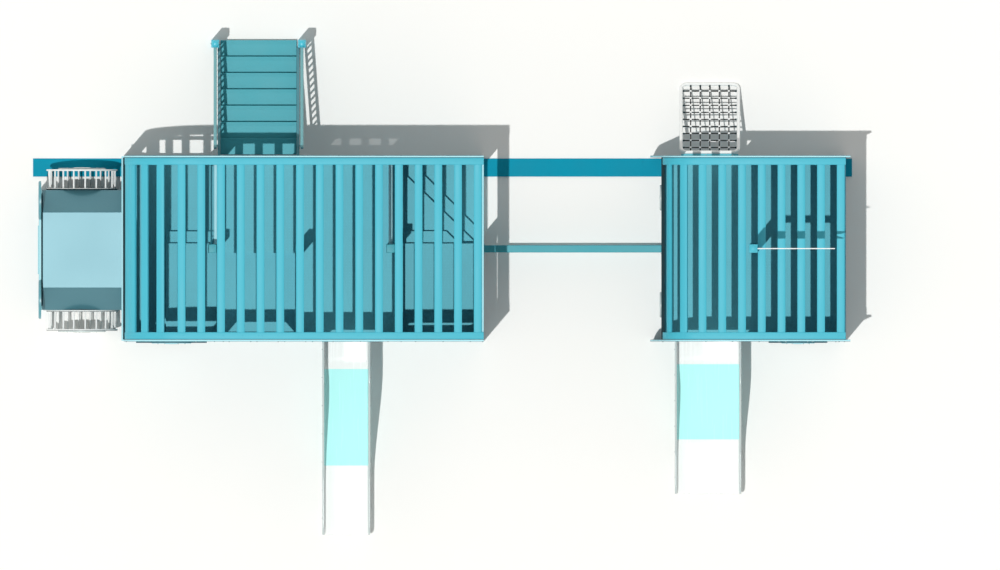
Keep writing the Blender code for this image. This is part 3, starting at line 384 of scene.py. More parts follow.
# Each finish as its maker, its material's name and its colour: a hex code or a colour setting, which
# may be shaded by a share
FINISHES = {
    "panel": (polyethylene_sheet, "polyethylene_teal", "panel"),
    # The core's pale colour, shown on cut edges, also paints a highlight along them
    "core": (polyethylene_sheet, "polyethylene_white_core", "core"),
    "tyre": (polyethylene_sheet, "polyethylene_deep_teal", "panel", 0.6),
    "slat": (powder_coat, "powder_coat_slats", "slat"),
    "steel": (powder_coat, "powder_coat_steelwork", "steel"),
    "rail": (powder_coat, "powder_coat_handrails", "#72A9AF"),
    "stringer": (powder_coat, "powder_coat_stringers", "#528A95"),
    "white": (powder_coat, "powder_coat_white", "white"),
    "deck": (dipped_deck, "dipped_deck", "deck"),
    "hood": (pearl_coat, "pearl_coat_hood", "hood"),
    "base": (compact_laminate, "compact_laminate_base", "base"),
    "level": (gelcoat, "gelcoat_white", "#F6FAF9"),
    "chute": (gelcoat, "gelcoat_cyan", "chute"),
    "rim": (gelcoat, "gelcoat_grey", "#B9C6C6"),
    # Dark rubber for seals and sleeves, and for strips and plates that paint shade
    "seal": (rubber_profile, "rubber_profile", "#0C2E35"),
    "cap": (moulded_nylon, "moulded_nylon_teal", "slat", 1.1),
    "pane": (smoked_pane, "polycarbonate_pane", "#B8C4C4"),
    "rope": (braided_rope, "braided_rope", "rope"),
    "nylon": (moulded_nylon, "moulded_nylon_white", "#F2F5F4"),
    "nut": (stainless_steel, "stainless_steel", "#C6CBCC"),
    "bezel": (moulded_nylon, "moulded_nylon_bezels", "#5C9AA6"),
    "lens": (lamp_lens, "polycarbonate_lens", "#BFE3E6"),
}
MADE = {}


def finish(key):
    """The material of a finish, made once."""
    if key not in MADE:
        make, name, source, *share = FINISHES[key]
        colour = linear(source) if source.startswith("#") else tuple(getattr(colours(), source))
        MADE[key] = make(name, shade(colour, *share) if share else colour)
    return MADE[key]


# Shapes
def turned_to(normal):
    """A turn that takes +Z to a direction."""
    return Vector(UP).rotation_difference(Vector(normal)).to_matrix().to_4x4()


def facing(spot, normal):
    """A place at a spot whose local +Z looks in a direction."""
    return Matrix.Translation(spot) @ turned_to(normal)


def turns(place, count):
    """A place turned to even steps around its local Z."""
    return [place @ Matrix.Rotation(math.tau * i / count, 4, "Z") for i in range(count)]


def round_points(cx, cy, radius, start, stop, steps):
    """Points of an arc between two angles in degrees."""
    angles = [math.radians(start + (stop - start) * i / steps) for i in range(steps + 1)]
    return [(cx + radius * math.cos(angle), cy + radius * math.sin(angle)) for angle in angles]


def rounded_box(x0, x1, y0, y1, radius, steps=5):
    """Outline of a rectangle with round corners, anticlockwise."""
    return [*round_points(x1 - radius, y0 + radius, radius, -90, 0, steps),
            *round_points(x1 - radius, y1 - radius, radius, 0, 90, steps),
            *round_points(x0 + radius, y1 - radius, radius, 90, 180, steps),
            *round_points(x0 + radius, y0 + radius, radius, 180, 270, steps)]


def eased_path(points, radius, steps):
    """A path in space whose inner corners are replaced by arcs."""
    path = [Vector(points[0])]
    for before, here, after in zip(points, points[1:], points[2:]):
        here = Vector(here)
        back = (Vector(before) - here).normalized()
        ahead = (Vector(after) - here).normalized()
        half = back.angle(ahead) / 2
        reach = radius / math.tan(half)
        centre = here + (back + ahead).normalized() * radius / math.sin(half)
        first = here + back * reach - centre
        last = here + ahead * reach - centre
        for i in range(steps + 1):
            spoke = first.slerp(last, i / steps)
            path.append(centre + spoke * radius / spoke.length)
    path.append(Vector(points[-1]))
    return path


def spread_between(start, stop, pitch):
    """Evenly spaced numbers from start to stop, about a pitch apart."""
    count = max(1, round(abs(stop - start) / pitch))
    return [start + (stop - start) * i / count for i in range(count + 1)]


class Maker:
    """Collects the points and faces of one piece, then makes its object."""

    def __init__(self):
        self.points = []
        self.faces = []
        self.finishes = []

    def loft(self, rings, finish_at=0, loop=False):
        """Skin over rings of points. Each ring is closed; loop joins the last ring to the first."""
        start = len(self.points)
        size = len(rings[0])
        for ring in rings:
            self.points.extend(tuple(point) for point in ring)
        spans = len(rings) if loop else len(rings) - 1
        for i in range(spans):
            here = start + i * size
            there = start + (i + 1) % len(rings) * size
            for j in range(size):
                k = (j + 1) % size
                self.faces.append((here + j, here + k, there + k, there + j))
        made = spans * size
        if not loop:
            self.faces.append(tuple(range(start + size - 1, start - 1, -1)))
            last = start + (len(rings) - 1) * size
            self.faces.append(tuple(range(last, last + size)))
            made += 2
        self.finishes.extend([finish_at] * made)

    def pipe(self, path, radius, finish_at=0, sides=20, loop=False):
        """A round tube along a path."""
        path = [Vector(p) for p in path]
        count = len(path)
        angles = [math.tau * j / sides for j in range(sides)]
        rings = []
        turn = last = None
        for i, here in enumerate(path):
            before = path[i - 1] if loop or i else here
            after = path[(i + 1) % count] if loop or i < count - 1 else here
            way = (after - before).normalized()
            turn = last.rotation_difference(way).to_matrix().to_4x4() @ turn if i else turned_to(way)
            last = way
            rings.append([here + turn @ Vector((radius * math.cos(angle), radius * math.sin(angle), 0))
                          for angle in angles])
        self.loft(rings, finish_at, loop=loop)

    def spin(self, profile, place, finish_at=0, sides=24):
        """A turned shape from (radius, height) points around the local Z of a place."""
        start = len(self.points)
        size = len(profile)
        for i, turn in enumerate(turns(place, sides)):
            self.points.extend(tuple(turn @ Vector((radius, 0, height))) for radius, height in profile)
            here = start + i * size
            there = start + (i + 1) % sides * size
            for j in range(size - 1):
                self.faces.append((here + j, there + j, there + j + 1, here + j + 1))
        self.finishes.extend([finish_at] * (sides * (size - 1)))

    def block(self, low, high, finish_at=0, edge=0.004, steps=2, place=None):
        """A box with rounded edges between its low and high corner."""
        shape = bmesh.new()
        size = Vector(high) - Vector(low)
        middle = (Vector(high) + Vector(low)) / 2
        spot = Matrix.Translation(middle) @ Matrix.Diagonal((*size, 1.0))
        bmesh.ops.create_cube(shape, size=1.0, matrix=spot)
        bmesh.ops.bevel(shape, geom=list(shape.edges), offset=min(edge, min(size) * 0.45), segments=steps,
                        profile=0.5, affect="EDGES")
        start = len(self.points)
        shape.verts.index_update()
        self.points.extend(tuple(vert.co if place is None else place @ vert.co) for vert in shape.verts)
        for face in shape.faces:
            self.faces.append(tuple(start + vert.index for vert in face.verts))
            self.finishes.append(finish_at)
        shape.free()

    def nut(self, spot, normal, finish_at=0, radius=None):
        """A domed cap nut on its washer."""
        r = radius or sizes().nut
        profile = [(0.0, 0.75 * r), (0.35 * r, 0.68 * r), (0.62 * r, 0.45 * r), (0.74 * r, 0.12 * r),
                   (r, 0.10 * r), (r, 0.0), (0.0, 0.0)]
        self.spin(profile, facing(spot, normal), finish_at, sides=12)

    def nut_ring(self, place, reach, height, normal):
        """Six cap nuts in a ring around the local Z of a play wheel's place, in its third finish."""
        for turn in turns(place, 6):
            self.nut(turn @ Vector((reach, 0, height)), normal, 2)

    def foot_plate(self, low, high):
        """The plate under a square post, and its four anchor nuts in the piece's second finish."""
        out = 0.045
        thick = 0.010
        self.block((low.x - out, low.y - out, 0.0), (high.x + out, high.y + out, thick), edge=0.003)
        for x in (low.x - out / 2, high.x + out / 2):
            for y in (low.y - out / 2, high.y + out / 2):
                self.nut((x, y, thick), UP, 1)

    def piece(self, name, finishes, nodes=(), smooth=28):
        """Make the object, give it its finishes and let it ride on the frame."""
        mesh = bpy.data.meshes.new(name)
        mesh.from_pydata(self.points, [], self.faces)
        mesh.polygons.foreach_set("material_index", self.finishes)
        mesh.shade_smooth()
        return piece_of(name, mesh, finishes, nodes, smooth)


def piece_of(name, mesh, finishes, nodes, smooth):
    """Clean a mesh and make it a piece that rides on the frame."""
    shape = bmesh.new()
    shape.from_mesh(mesh)
    bmesh.ops.remove_doubles(shape, verts=shape.verts, dist=0.000002)
    bmesh.ops.dissolve_degenerate(shape, edges=shape.edges, dist=0.000001)
    bmesh.ops.recalc_face_normals(shape, faces=shape.faces)
    shape.to_mesh(mesh)
    shape.free()
    for key in finishes:
        mesh.materials.append(finish(key))
    mesh.set_sharp_from_angle(angle=math.radians(smooth))
    item = bpy.data.objects.new(name, mesh)
    bpy.context.scene.collection.objects.link(item)
    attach(item, BODY)
    if nodes:
        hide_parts(*nodes)
    return item


def bars(name, key, boxes, edge=0.004, steps=2):
    """A piece of plain bars or strips, each from its low and high corner."""
    maker = Maker()
    for low, high in boxes:
        maker.block(low, high, edge=edge, steps=steps)
    maker.piece(name, [key])


def eased_copy(name, node, key, edge=None):
    """A copy of a CAD plate with its edges rounded, which stands for it."""
    shape = bmesh.new()
    shape.from_mesh(NODES[node].data)
    bmesh.ops.remove_doubles(shape, verts=shape.verts, dist=0.00001)
    bmesh.ops.dissolve_limit(shape, angle_limit=math.radians(1), verts=shape.verts, edges=shape.edges)
    rims = [e for e in shape.edges if len(e.link_faces) == 2 and e.calc_face_angle() > math.radians(30)]
    bmesh.ops.bevel(shape, geom=rims, offset=edge or sizes().sheet_edge, segments=2, profile=0.5,
                    affect="EDGES", clamp_overlap=True)
    mesh = bpy.data.meshes.new(name)
    shape.to_mesh(mesh)
    shape.free()
    item = piece_of(name, mesh, [key], [node], 20)
    # Faces over 0.02 square metres stay flat, so that no shading runs over them from the rounded edges
    for polygon in mesh.polygons:
        polygon.use_smooth = polygon.area < 0.02
    return item


def show_core_and_edge_highlight(item, axis):
    """Show a sheet's core on its cut edges between its two skins, also as a painted edge highlight; axis is
    square to the sheet.
    """
    item.data.materials.append(finish("core"))
    for polygon in item.data.polygons:
        if abs(polygon.normal[axis]) < 0.3:
            polygon.material_index = 1


# Walls
def nose_curve(nose, inset, steps=14):
    """Points (x, z) of a nose from its front up to its flat top."""
    angles = [math.pi / 2 * i / steps for i in range(steps + 1)]
    return [(nose["x"] - (nose["long"] - inset) * math.cos(angle),
             nose["top"] - nose["drop"] + (nose["drop"] - inset) * math.sin(angle)) for angle in angles]


def routed_line(maker, outline, y, way):
    """A flat line laid in a wall's outer face along a closed outline of (x, z) points."""
    wide = sizes().groove / 2
    proud = y + way * LINE_PROUD
    rings = []
    for i, point in enumerate(outline):
        here = Vector(point)
        into = (here - Vector(outline[i - 1])).normalized()
        out = (Vector(outline[(i + 1) % len(outline)]) - here).normalized()
        mean = (into + out).normalized()
        side = Vector((mean.y, -mean.x)) * wide / max(0.5, mean.dot(into))
        a = here - side
        b = here + side
        rings.append([(a.x, y, a.y), (a.x, proud, a.y), (b.x, proud, b.y), (b.x, y, b.y)])
    maker.loft(rings, loop=True)


def wall_lines(side, y, way):
    """The routed lines of a left wall: around its edge and around its windows."""
    maker = Maker()
    low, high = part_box(f"left_{side}_wall")
    rim = [(low.x + RIM_INSET, RIM_FOOT), *nose_curve(LEFT_NOSE, RIM_INSET),
           (high.x - RIM_INSET, high.z - RIM_INSET), (high.x - RIM_INSET, RIM_FOOT)]
    routed_line(maker, rim, y, way)
    out = LINE_OUT
    for x0, x1, z0, z1, radius in LEFT_OPENINGS[side]:
        routed_line(maker, rounded_box(x0 - out, x1 + out, z0 - out, z1 + out, radius + out), y, way)
    maker.piece(f"left_{side}_lines", ["core"])


def nut_rows(wall, y, way):
    """Cap nuts in straight rows on a wall's outer face."""
    maker = Maker()
    for start, stop in WALL_NUTS[wall]:
        count = max(1, round(math.dist(start, stop) / sizes().nut_pitch))
        for i in range(count + 1):
            x, z = Vector(start).lerp(Vector(stop), i / count)
            maker.nut((x, y, z), (0, way, 0))
    maker.piece(f"{wall}_nuts", ["nut"])


def wheel_face(name, node):
    """A flat play wheel: tyre disc, hub disc, ring of nuts and a cap."""
    low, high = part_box(node)
    radius = (high.x - low.x) / 2
    thick = high.y - low.y
    edge = 0.006
    ahead = (0, -1, 0)
    place = facing(((low.x + high.x) / 2, high.y, (low.z + high.z) / 2), ahead)
    maker = Maker()
    maker.spin([(0, 0), (radius - edge, 0), (radius, edge), (radius, thick - edge), (radius - edge, thick),
                (radius * 0.78, thick), (radius * 0.76, thick - edge), (radius * 0.62, thick - edge),
                (radius * 0.60, thick), (0, thick)], place, 0, sides=64)
    maker.spin([(radius * 0.56, thick), (radius * 0.56, thick + 0.008), (radius * 0.54, thick + 0.010),
                (radius * 0.2, thick + 0.010), (radius * 0.17, thick + 0.018), (0, thick + 0.021)],
               place, 1, sides=64)
    maker.nut_ring(place, radius * 0.38, thick + 0.010, ahead)
    maker.piece(name, ["tyre", "core", "nut"], [node])


def deck_pane():
    """The clear pane in the deck window, a hair smaller than its hole."""
    x0, x1, z0, z1, radius = LEFT_OPENINGS["back"][-1]
    slack = 0.0005
    outline = rounded_box(x0 + slack, x1 - slack, z0 + slack, z1 - slack, radius - slack)
    maker = Maker()
    maker.loft([[(x, WALL_BACK - deep, z) for x, z in outline] for deep in (0.018, 0.012)])
    maker.piece("deck_window_pane", ["pane"])


def build_walls():
    """Panels of both towers with routed lines, nuts, play wheels, dark strips of painted shade at the dashes,
    trim and a pane.
    """
    for tower in ("left", "right"):
        for part, axis in (("front_wall", 1), ("back_wall", 1), ("dash_panel", 0), ("end_panel", 0)):
            node = f"{tower}_{part}"
            sheet = eased_copy(f"{node}_sheet", node, "panel")
            if node not in ("left_dash_panel", "right_dash_panel", "right_end_panel"):
                show_core_and_edge_highlight(sheet, axis)
    faces = {"front": (WALL_FRONT, -1), "back": (WALL_BACK, 1)}
    for side, face in faces.items():
        wall_lines(side, *face)
    for wall in WALL_NUTS:
        nut_rows(wall, *faces[wall.split("_")[1]])
    for side in ("left", "right"):
        wheel_face(f"{side}_play_wheel", f"{side}_wheel_disc")
    # Dark strips on the dash panels' tops are painted shade: the dark inside of each nose seen past its dash
    for side, x0, x1 in (("left", -4.7925, -4.7625), ("right", 3.2825, 3.3325)):
        low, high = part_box(f"{side}_dash_panel")
        bars(f"{side}_dash_seal", "seal",
             [((x0, low.y, high.z - 0.03), (x1, high.y, high.z + 0.006))])
    bars("dash_trim", "core", [((-4.815, -0.80, 1.303), (-4.781, 1.97, 1.335))], 0.005)
    deck_pane()


# Roofs
def slat_section(wide, thick, crown):
    """Cross-section (x, z) of a slat, its top at zero: rounded corners and a crowned top."""
    half = wide / 2
    corner = 0.006
    steps = 7
    points = [*round_points(half - corner, corner - thick, corner, -90, 0, 4),
              *round_points(half - corner, -corner - crown, corner, 0, 80, 4)]
    for i in range(steps):
        across = (half - corner) * (1 - 2 * (i + 0.5) / steps)
        points.append((across, -crown * (across / half) ** 2))
    points += [*round_points(corner - half, -corner - crown, corner, 100, 180, 4),
               *round_points(corner - half, corner - thick, corner, 180, 270, 4)]
    return points


def slat(maker, place, low, high):
    """One slat from rail to rail and its nuts, at a place whose local Z is up out of the roof."""
    chosen = sizes()
    section = slat_section(chosen.slat_wide, ROOF_THICK - 2 * SLAT_SHY, chosen.slat_crown)
    reach = RAIL_WIDE - SLAT_LAP
    maker.loft([[place @ Vector((x, y, z)) for x, z in section] for y in (low.y + reach, high.y - reach)])
    up = place.to_3x3() @ Vector(UP)
    for y in (low.y + RAIL_WIDE / 2, high.y - RAIL_WIDE / 2):
        for across in (-SLAT_NUTS, SLAT_NUTS):
            maker.nut(place @ Vector((across, y, SLAT_SHY - 0.001)), up, 0, 0.008)


def flat_roof(side, nose):
    """Side rails and crowned slats of a flat roof."""
    node = f"{side}_roof_slats"
    low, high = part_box(node)
    maker = Maker()
    for y0, y1 in ((low.y, low.y + RAIL_WIDE), (high.y - RAIL_WIDE, high.y)):
        maker.block((low.x - RAIL_LAP, y0, low.z), (high.x, y1, high.z), edge=RAIL_EASE, steps=3)
    for i in range(nose["flat"]):
        x = nose["first"] + i * sizes().slat_pitch
        slat(maker, Matrix.Translation((x, 0, high.z - SLAT_SHY)), low, high)
    maker.piece(f"{side}_roof", ["slat"], [node])


def bend_place(nose, distance, steps=400):
    """Where a nose's roof is at a distance down it: how far forward, how far down, and its slope."""
    long = nose["long"] - ROOF_SET_DOWN
    drop = nose["drop"] - ROOF_SET_DOWN
    walked = 0.0
    last = (0.0, 0.0)
    for i in range(1, steps + 1):
        angle = math.pi / 2 * i / steps
        now = (long * math.sin(angle), drop * (1 - math.cos(angle)))
        walked += math.dist(last, now)
        if walked >= distance:
            return now, math.atan2(drop * math.sin(angle), long * math.cos(angle))
        last = now
    return last, math.pi / 2


def nose_roof(side, nose):
    """Bent rails and slats that follow a nose down."""
    node = f"{side}_nose_slats"
    low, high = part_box(node)
    outer = nose_curve(nose, ROOF_SET_DOWN, 28)
    inner = nose_curve(nose, ROOF_SET_DOWN + ROOF_THICK, 28)
    ease = RAIL_EASE
    maker = Maker()
    for y0, y1 in ((low.y, low.y + RAIL_WIDE), (high.y - RAIL_WIDE, high.y)):
        corners = [(y0 + ease, 0.0), (y1 - ease, 0.0), (y1 - ease * 0.3, 0.06), (y1, 0.2), (y1, 0.8),
                   (y1 - ease, 1.0), (y0 + ease, 1.0), (y0, 0.8), (y0, 0.2), (y0 + ease * 0.3, 0.06)]
        maker.loft([[(ox + (ix - ox) * deep, y, oz + (iz - oz) * deep) for y, deep in corners]
                    for (ox, oz), (ix, iz) in zip(outer, inner)])
    for distance in nose["bent"]:
        (back, down), slope = bend_place(nose, distance)
        spot = Matrix.Translation((nose["x"] - back, 0, nose["top"] - ROOF_SET_DOWN - down))
        slat(maker, spot @ Matrix.Rotation(-slope, 4, "Y") @ Matrix.Translation((0, 0, -SLAT_SHY)), low, high)
    maker.piece(f"{side}_nose_roof", ["slat"], [node])


def build_roofs():
    """Both flat roofs and both noses."""
    for side, nose in (("left", LEFT_NOSE), ("right", RIGHT_NOSE)):
        flat_roof(side, nose)
        nose_roof(side, nose)


# Decks
def deck_guard(side, board_x, board_top):
    """A white rail on flanges with its board, behind a post."""
    node = f"deck_guard_{side}"
    low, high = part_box(node)
    rail = 0.03
    board = 0.027
    x = high.x - rail
    z = high.z - rail
    maker = Maker()
    maker.pipe([(x, low.y, z), (x, high.y, z)], rail, sides=28)
    for y, way in ((low.y, 1), (high.y, -1)):
        maker.spin([(0, 0), (0.044, 0), (0.046, 0.003), (0.044, 0.007), (rail, 0.009)],
                   facing((x, y, z), (0, way, 0)), 0, sides=28)
    maker.block((board_x, low.y, DECK_MAIN + 0.05), (board_x + board, high.y, board_top), 1, 0.006, 3)
    for y in (low.y + 0.12, high.y - 0.12):
        maker.pipe([(x, y, z), (board_x + 0.012, y, z)], 0.010, sides=12)
        for nut_z in (board_top - 0.08, DECK_MAIN + 0.12):
            maker.nut((board_x + board, y, nut_z), (1, 0, 0), 2)
    maker.piece(f"{side}_guard", ["core", "deck", "nut"], [node])


def build_decks():
    """Decks, inside steps, posts, guards and joists."""
    for node, edge in (("main_deck", 0.006), ("right_deck", 0.006), ("lower_deck", 0.0012)):
        eased_copy(f"{node}_plate", node, "deck", edge)
    for node in ("corner_steps", "winding_steps"):
        for place in NODES[node].material_slots:
            place.material = finish("deck")
    for node in ("bay_divider", "steps_side_panel"):
        eased_copy(f"{node}_sheet", node, "panel")
    for side in ("left", "middle", "right"):
        node = f"deck_post_{side}"
        low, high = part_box(node)
        maker = Maker()
        maker.block(low, high, edge=0.010, steps=3)
        maker.foot_plate(low, high)
        maker.piece(f"{side}_post", ["steel", "nut"], [node])
    deck_guard("left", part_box("deck_guard_left")[0].x, 2.31)
    deck_guard("right", -0.792, 2.28)
    for side, (deck, rows) in JOISTS.items():
        top = deck - DECK_THICK
        bars(f"{side}_deck_joists", "steel",
             [((x - JOIST_HALF, y0, top - JOIST_HIGH), (x + JOIST_HALF, y1, top - 0.0005))
              for x, y0, y1 in rows])


# Hood
def hood_lamp(name, node, bezel):
    """A round lamp: bezel, ribbed lens and hub, facing -X."""
    low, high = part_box(node)
    radius = (high.y - low.y) / 2
    deep = high.x - low.x
    lens = radius * 0.84
    hub = radius * 0.14
    place = facing((high.x, (low.y + high.y) / 2, (low.z + high.z) / 2), (-1, 0, 0))
    maker = Maker()
    maker.spin([(0, 0), (radius, 0), (radius, deep * 0.55), (radius * 0.97, deep * 0.8),
                (radius * 0.93, deep * 0.86), (radius * 0.86, deep * 0.8), (lens, deep * 0.45)],
               place, 0, sides=56)
    rings = [(lens, deep * 0.45)]
    count = max(4, round(radius * 0.7 / LENS_RIB))
    for i in range(count):
        at = radius * (0.82 - 0.66 * i / count)
        swell = deep * (0.45 + 0.3 * i / count)
        rings += [(at, swell + 0.0025), (at - radius * 0.33 / count, swell)]
    maker.spin([*rings, (hub, deep * 0.78)], place, 1, sides=56)
    maker.spin([(hub, deep * 0.5), (hub, deep * 0.92), (radius * 0.10, deep), (0, deep)], place, 2, sides=32)
    maker.piece(name, [bezel, "lens", "white"], [node])


def hood_wheel(side, way, back, trim):
    """A barred wheel: two ring plates, round bars, hub plate with grooves, cap and nuts."""
    node = f"hood_wheel_{side}"
    low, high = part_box(node)
    inner_y = low.y if way > 0 else high.y
    ahead = (0, way, 0)
    place = facing((WHEEL_X, inner_y, WHEEL_Z), ahead)
    radius = WHEEL_RADIUS
    top = WHEEL_REACH
    edge = 0.006
    groove = 0.005
    maker = Maker()
    for key, near, far in ((3, 0.0, WHEEL_FACE), (0, top - WHEEL_FACE, top)):
        maker.spin([(0, near), (radius - edge, near), (radius, near + edge), (radius, far - edge)],
                   place, key, sides=72)
        maker.spin([(radius, far - edge), (radius - edge, far)], place, 4, sides=72)
        maker.spin([(radius - edge, far), (radius * 0.86, far), (radius * 0.845, far - groove),
                    (radius * 0.79, far - groove), (radius * 0.775, far), (0, far)], place, key, sides=72)
    ends = [inner_y + way * reach for reach in (WHEEL_FACE - 0.002, top - WHEEL_FACE + 0.002)]
    for i in range(WHEEL_BARS):
        angle = math.tau * i / WHEEL_BARS + WHEEL_TURN
        x = WHEEL_X + WHEEL_BAR_RING * math.cos(angle)
        z = WHEEL_Z + WHEEL_BAR_RING * math.sin(angle)
        maker.pipe([(x, y, z) for y in ends], WHEEL_BAR, 0, sides=16)
    maker.spin([(0.360, top - 0.004), (0.360, top + 0.012), (0.352, top + 0.018), (0.30, top + 0.020),
                (0.29, top + 0.016), (0.15, top + 0.016), (0.14, top + 0.020), (0.12, top + 0.028),
                (0.06, top + 0.030), (0, top + 0.030)], place, 1, sides=72)
    maker.nut_ring(place, 0.22, top + 0.016, ahead)
    maker.piece(f"barred_wheel_{side}", ["white", "rim", "nut", back, trim], [node])


def build_hood():
    """Hood shell with a seal and rivets, front panel with a grille, lamps and wheels."""
    eased_copy("hood_skin", "hood_shell", "hood", 0.008)
    show_core_and_edge_highlight(eased_copy("hood_front_sheet", "hood_front_panel", "panel"), 0)
    low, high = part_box("hood_shell")
    bars("hood_seal", "seal",
         [((low.x - 0.02, SEAL_ENDS[0], high.z - 0.02), (low.x, SEAL_ENDS[1], high.z + 0.003))], 0.002)
    maker = Maker()
    for x in (low.x + 0.035, high.x - 0.035):
        for z in spread_between(0.12, 0.95, 0.2):
            for y, way in ((low.y + 0.0005, -1), (high.y - 0.0005, 1)):
                maker.nut((x, y, z), (0, way, 0), 0, RIVET)
    maker.piece("hood_rivets", ["nut"])
    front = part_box("hood_front_panel")[0].x
    louvres = [0.50 + i * 0.09 for i in range(5)]
    bars("hood_grille", "core",
         [((front - 0.014, 0.20, z), (front + 0.004, 0.93, z + 0.045)) for z in louvres], 0.006, 3)
    for side in ("front", "back"):
        hood_lamp(f"big_lamp_{side}", f"hood_lamp_{side}", "bezel")
        hood_lamp(f"small_lamp_{side}", f"right_lamp_{side}", "rim")
    # The back wheel's plate at the hood is dark rubber, painted shade between wheel and hood; the front
    # wheel's outer rim edge is dark rubber
    hood_wheel("front", -1, "white", "seal")
    hood_wheel("back", 1, "seal", "white")


# Stair
def nosing(y):
    """Height of the line through the front edges of the treads."""
    return RISE * (1 + (STAIR_FOOT - y) / GOING)


def balustrade(side, way):
    """Newel with a domed cap, handrail, lower rail, balusters and head post."""
    rail_x = STAIR_X + way * RAIL_X
    half = NEWEL_HALF
    shoulder = NEWEL_HIGH - NEWEL_CAP
    maker = Maker()

    def tube(x, spots, radius, sides):
        """A tube between two spots, each given by its y and its height over the nosing."""
        maker.pipe([(x, y, nosing(y) + over) for y, over in spots], radius, 0, sides=sides)

    maker.block((rail_x - half, NEWEL_Y - half, 0.0), (rail_x + half, NEWEL_Y + half, shoulder), 2, 0.012, 3)
    maker.spin([(0.058, -0.012), (0.0598, 0.0), (0.058, 0.014), (0.050, 0.030), (0.036, 0.042),
                (0.018, 0.049), (0, NEWEL_CAP)], Matrix.Translation((rail_x, NEWEL_Y, shoulder)), 2, sides=40)
    foot = NEWEL_Y - half + 0.01
    tube(rail_x, [(foot, HANDRAIL_OVER), (RAIL_HEAD_Y - 0.04, HANDRAIL_OVER)], 0.024, 28)
    tube(rail_x, [(foot, LOWER_RAIL_OVER), (RAIL_HEAD_Y, LOWER_RAIL_OVER)], 0.020, 28)
    run = (NEWEL_Y - half - RAIL_HEAD_Y) / (BALUSTERS + 1)
    for i in range(BALUSTERS):
        y = RAIL_HEAD_Y + run * (i + 1)
        tube(rail_x, [(y, LOWER_RAIL_OVER), (y, HANDRAIL_OVER)], 0.015, 14)
    tube(rail_x - way * 0.015, [(RAIL_HEAD_Y, -0.15), (RAIL_HEAD_Y, HANDRAIL_OVER)], 0.023, 24)
    for z in (0.11, 0.20):
        maker.nut((rail_x + way * half, NEWEL_Y, z), (way, 0, 0), 1)
    maker.piece(f"balustrade_{side}", ["rail", "nut", "cap"], [f"stair_balustrade_{side}"])


def build_stair():
    """Stringers, treads with grip ribs, nuts and balustrades."""
    for side in ("left", "right"):
        eased_copy(f"stringer_{side}", f"stair_stringer_{side}", "stringer")
    ribs = Maker()
    nuts = Maker()
    for i in range(1, TREADS + 1):
        node = f"stair_tread_{i}"
        eased_copy(f"tread_{i}", node, "steel", 0.006)
        low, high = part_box(node)
        for back in (0.020, 0.036, 0.052):
            y = high.y - back
            ribs.block((low.x + 0.02, y - 0.004, high.z - 0.001), (high.x - 0.02, y, high.z + 0.0015),
                       edge=0.0012)
        for way in (-1, 1):
            for y in (low.y + 0.04, low.y + 0.10):
                nuts.nut((STAIR_X + way * STRINGER_FACE, y, high.z - 0.02), (way, 0, 0), 0, 0.010)
    ribs.piece("tread_ribs", ["steel"])
    nuts.piece("stringer_nuts", ["nut"])
    balustrade("left", -1)
    balustrade("right", 1)


# Slides
def bed_line(slide, steps=8):
    """The (y, z) line of a slide's running surface: level, slope and run-out with eased bends."""
    top = slide["top"]
    end = slide["end"]
    crest = WALL_FRONT - slide["level"]
    foot = crest - slide["slope"]
    pitch = math.atan2(top - SLIDE_LOW, slide["slope"])
    ease = SLIDE_BEND * math.tan(pitch / 2)
    angles = [pitch * i / steps for i in range(steps + 1)]
    bends = [(SLIDE_BEND * math.sin(angle), SLIDE_BEND * (1 - math.cos(angle))) for angle in angles]
    return [(WALL_FRONT - GAP, top), *((crest + ease - out, top - down) for out, down in bends),
            *((foot - ease + out, SLIDE_LOW + down) for out, down in reversed(bends)),
            (end + 0.03, SLIDE_LOW), (end + 0.008, SLIDE_LOW - 0.010), (end, SLIDE_LOW - BED_THICK)]


def side_line(slide, steps=24, lip_steps=8):
    """The (y, z) line of a slide side's top edge: an easy S down to a rounded lip."""
    drop = WALL_FRONT - slide["level"] - 0.26
    low = WALL_FRONT - slide["level"] - slide["slope"] - 0.25
    side = slide["side"]
    line = [(WALL_FRONT - GAP, side)]
    for i in range(steps + 1):
        part = i / steps
        ease = part * part * (3 - 2 * part)
        line.append((drop + (low - drop) * part, side - (side - SLIDE_LIP_TOP) * ease))
    for i in range(lip_steps + 1):
        angle = math.pi / 2 * i / lip_steps
        line.append((slide["end"] + SLIDE_LIP * (1 - math.sin(angle)),
                     SLIDE_LIP_TOP - SLIDE_LIP * (1 - math.cos(angle))))
    return line


def height_on(line, y):
    """Height of a falling (y, z) line at a y."""
    ys, zs = zip(*reversed(line))
    return float(np.interp(y, ys, zs))


def bed_ring(slide, y, z):
    """Section of a bed at a point: a flat with a small fillet up each side."""
    half = slide["half"]
    angles = [math.radians(angle) for angle in (22.5, 45, 67.5, 90)]
    fillet = [(half - BED_FILLET + BED_FILLET * math.cos(angle), BED_FILLET - BED_FILLET * math.sin(angle))
              for angle in angles]
    edge = [(half, -BED_THICK), (half, BED_FILLET), *fillet]
    return [*((slide["x"] - out, y, z + up) for out, up in edge),
            *((slide["x"] + out, y, z + up) for out, up in reversed(edge))]


def slide_bed(name, slide):
    """The running surface in three moulded lengths: white, cyan, white."""
    line = bed_line(slide)
    first, second = slide["white"]
    marks = sorted({point[0] for point in line} | {first, second}, reverse=True)
    near = 1e-9
    maker = Maker()
    for key, start, stop in ((0, line[0][0], first), (1, first, second), (0, second, line[-1][0])):
        length_marks = [y for y in marks if stop - near <= y <= start + near]
        maker.loft([bed_ring(slide, y, height_on(line, y)) for y in length_marks], key)
    maker.piece(f"{name}_running_bed", ["level", "chute"], [f"{name}_bed"], smooth=40)


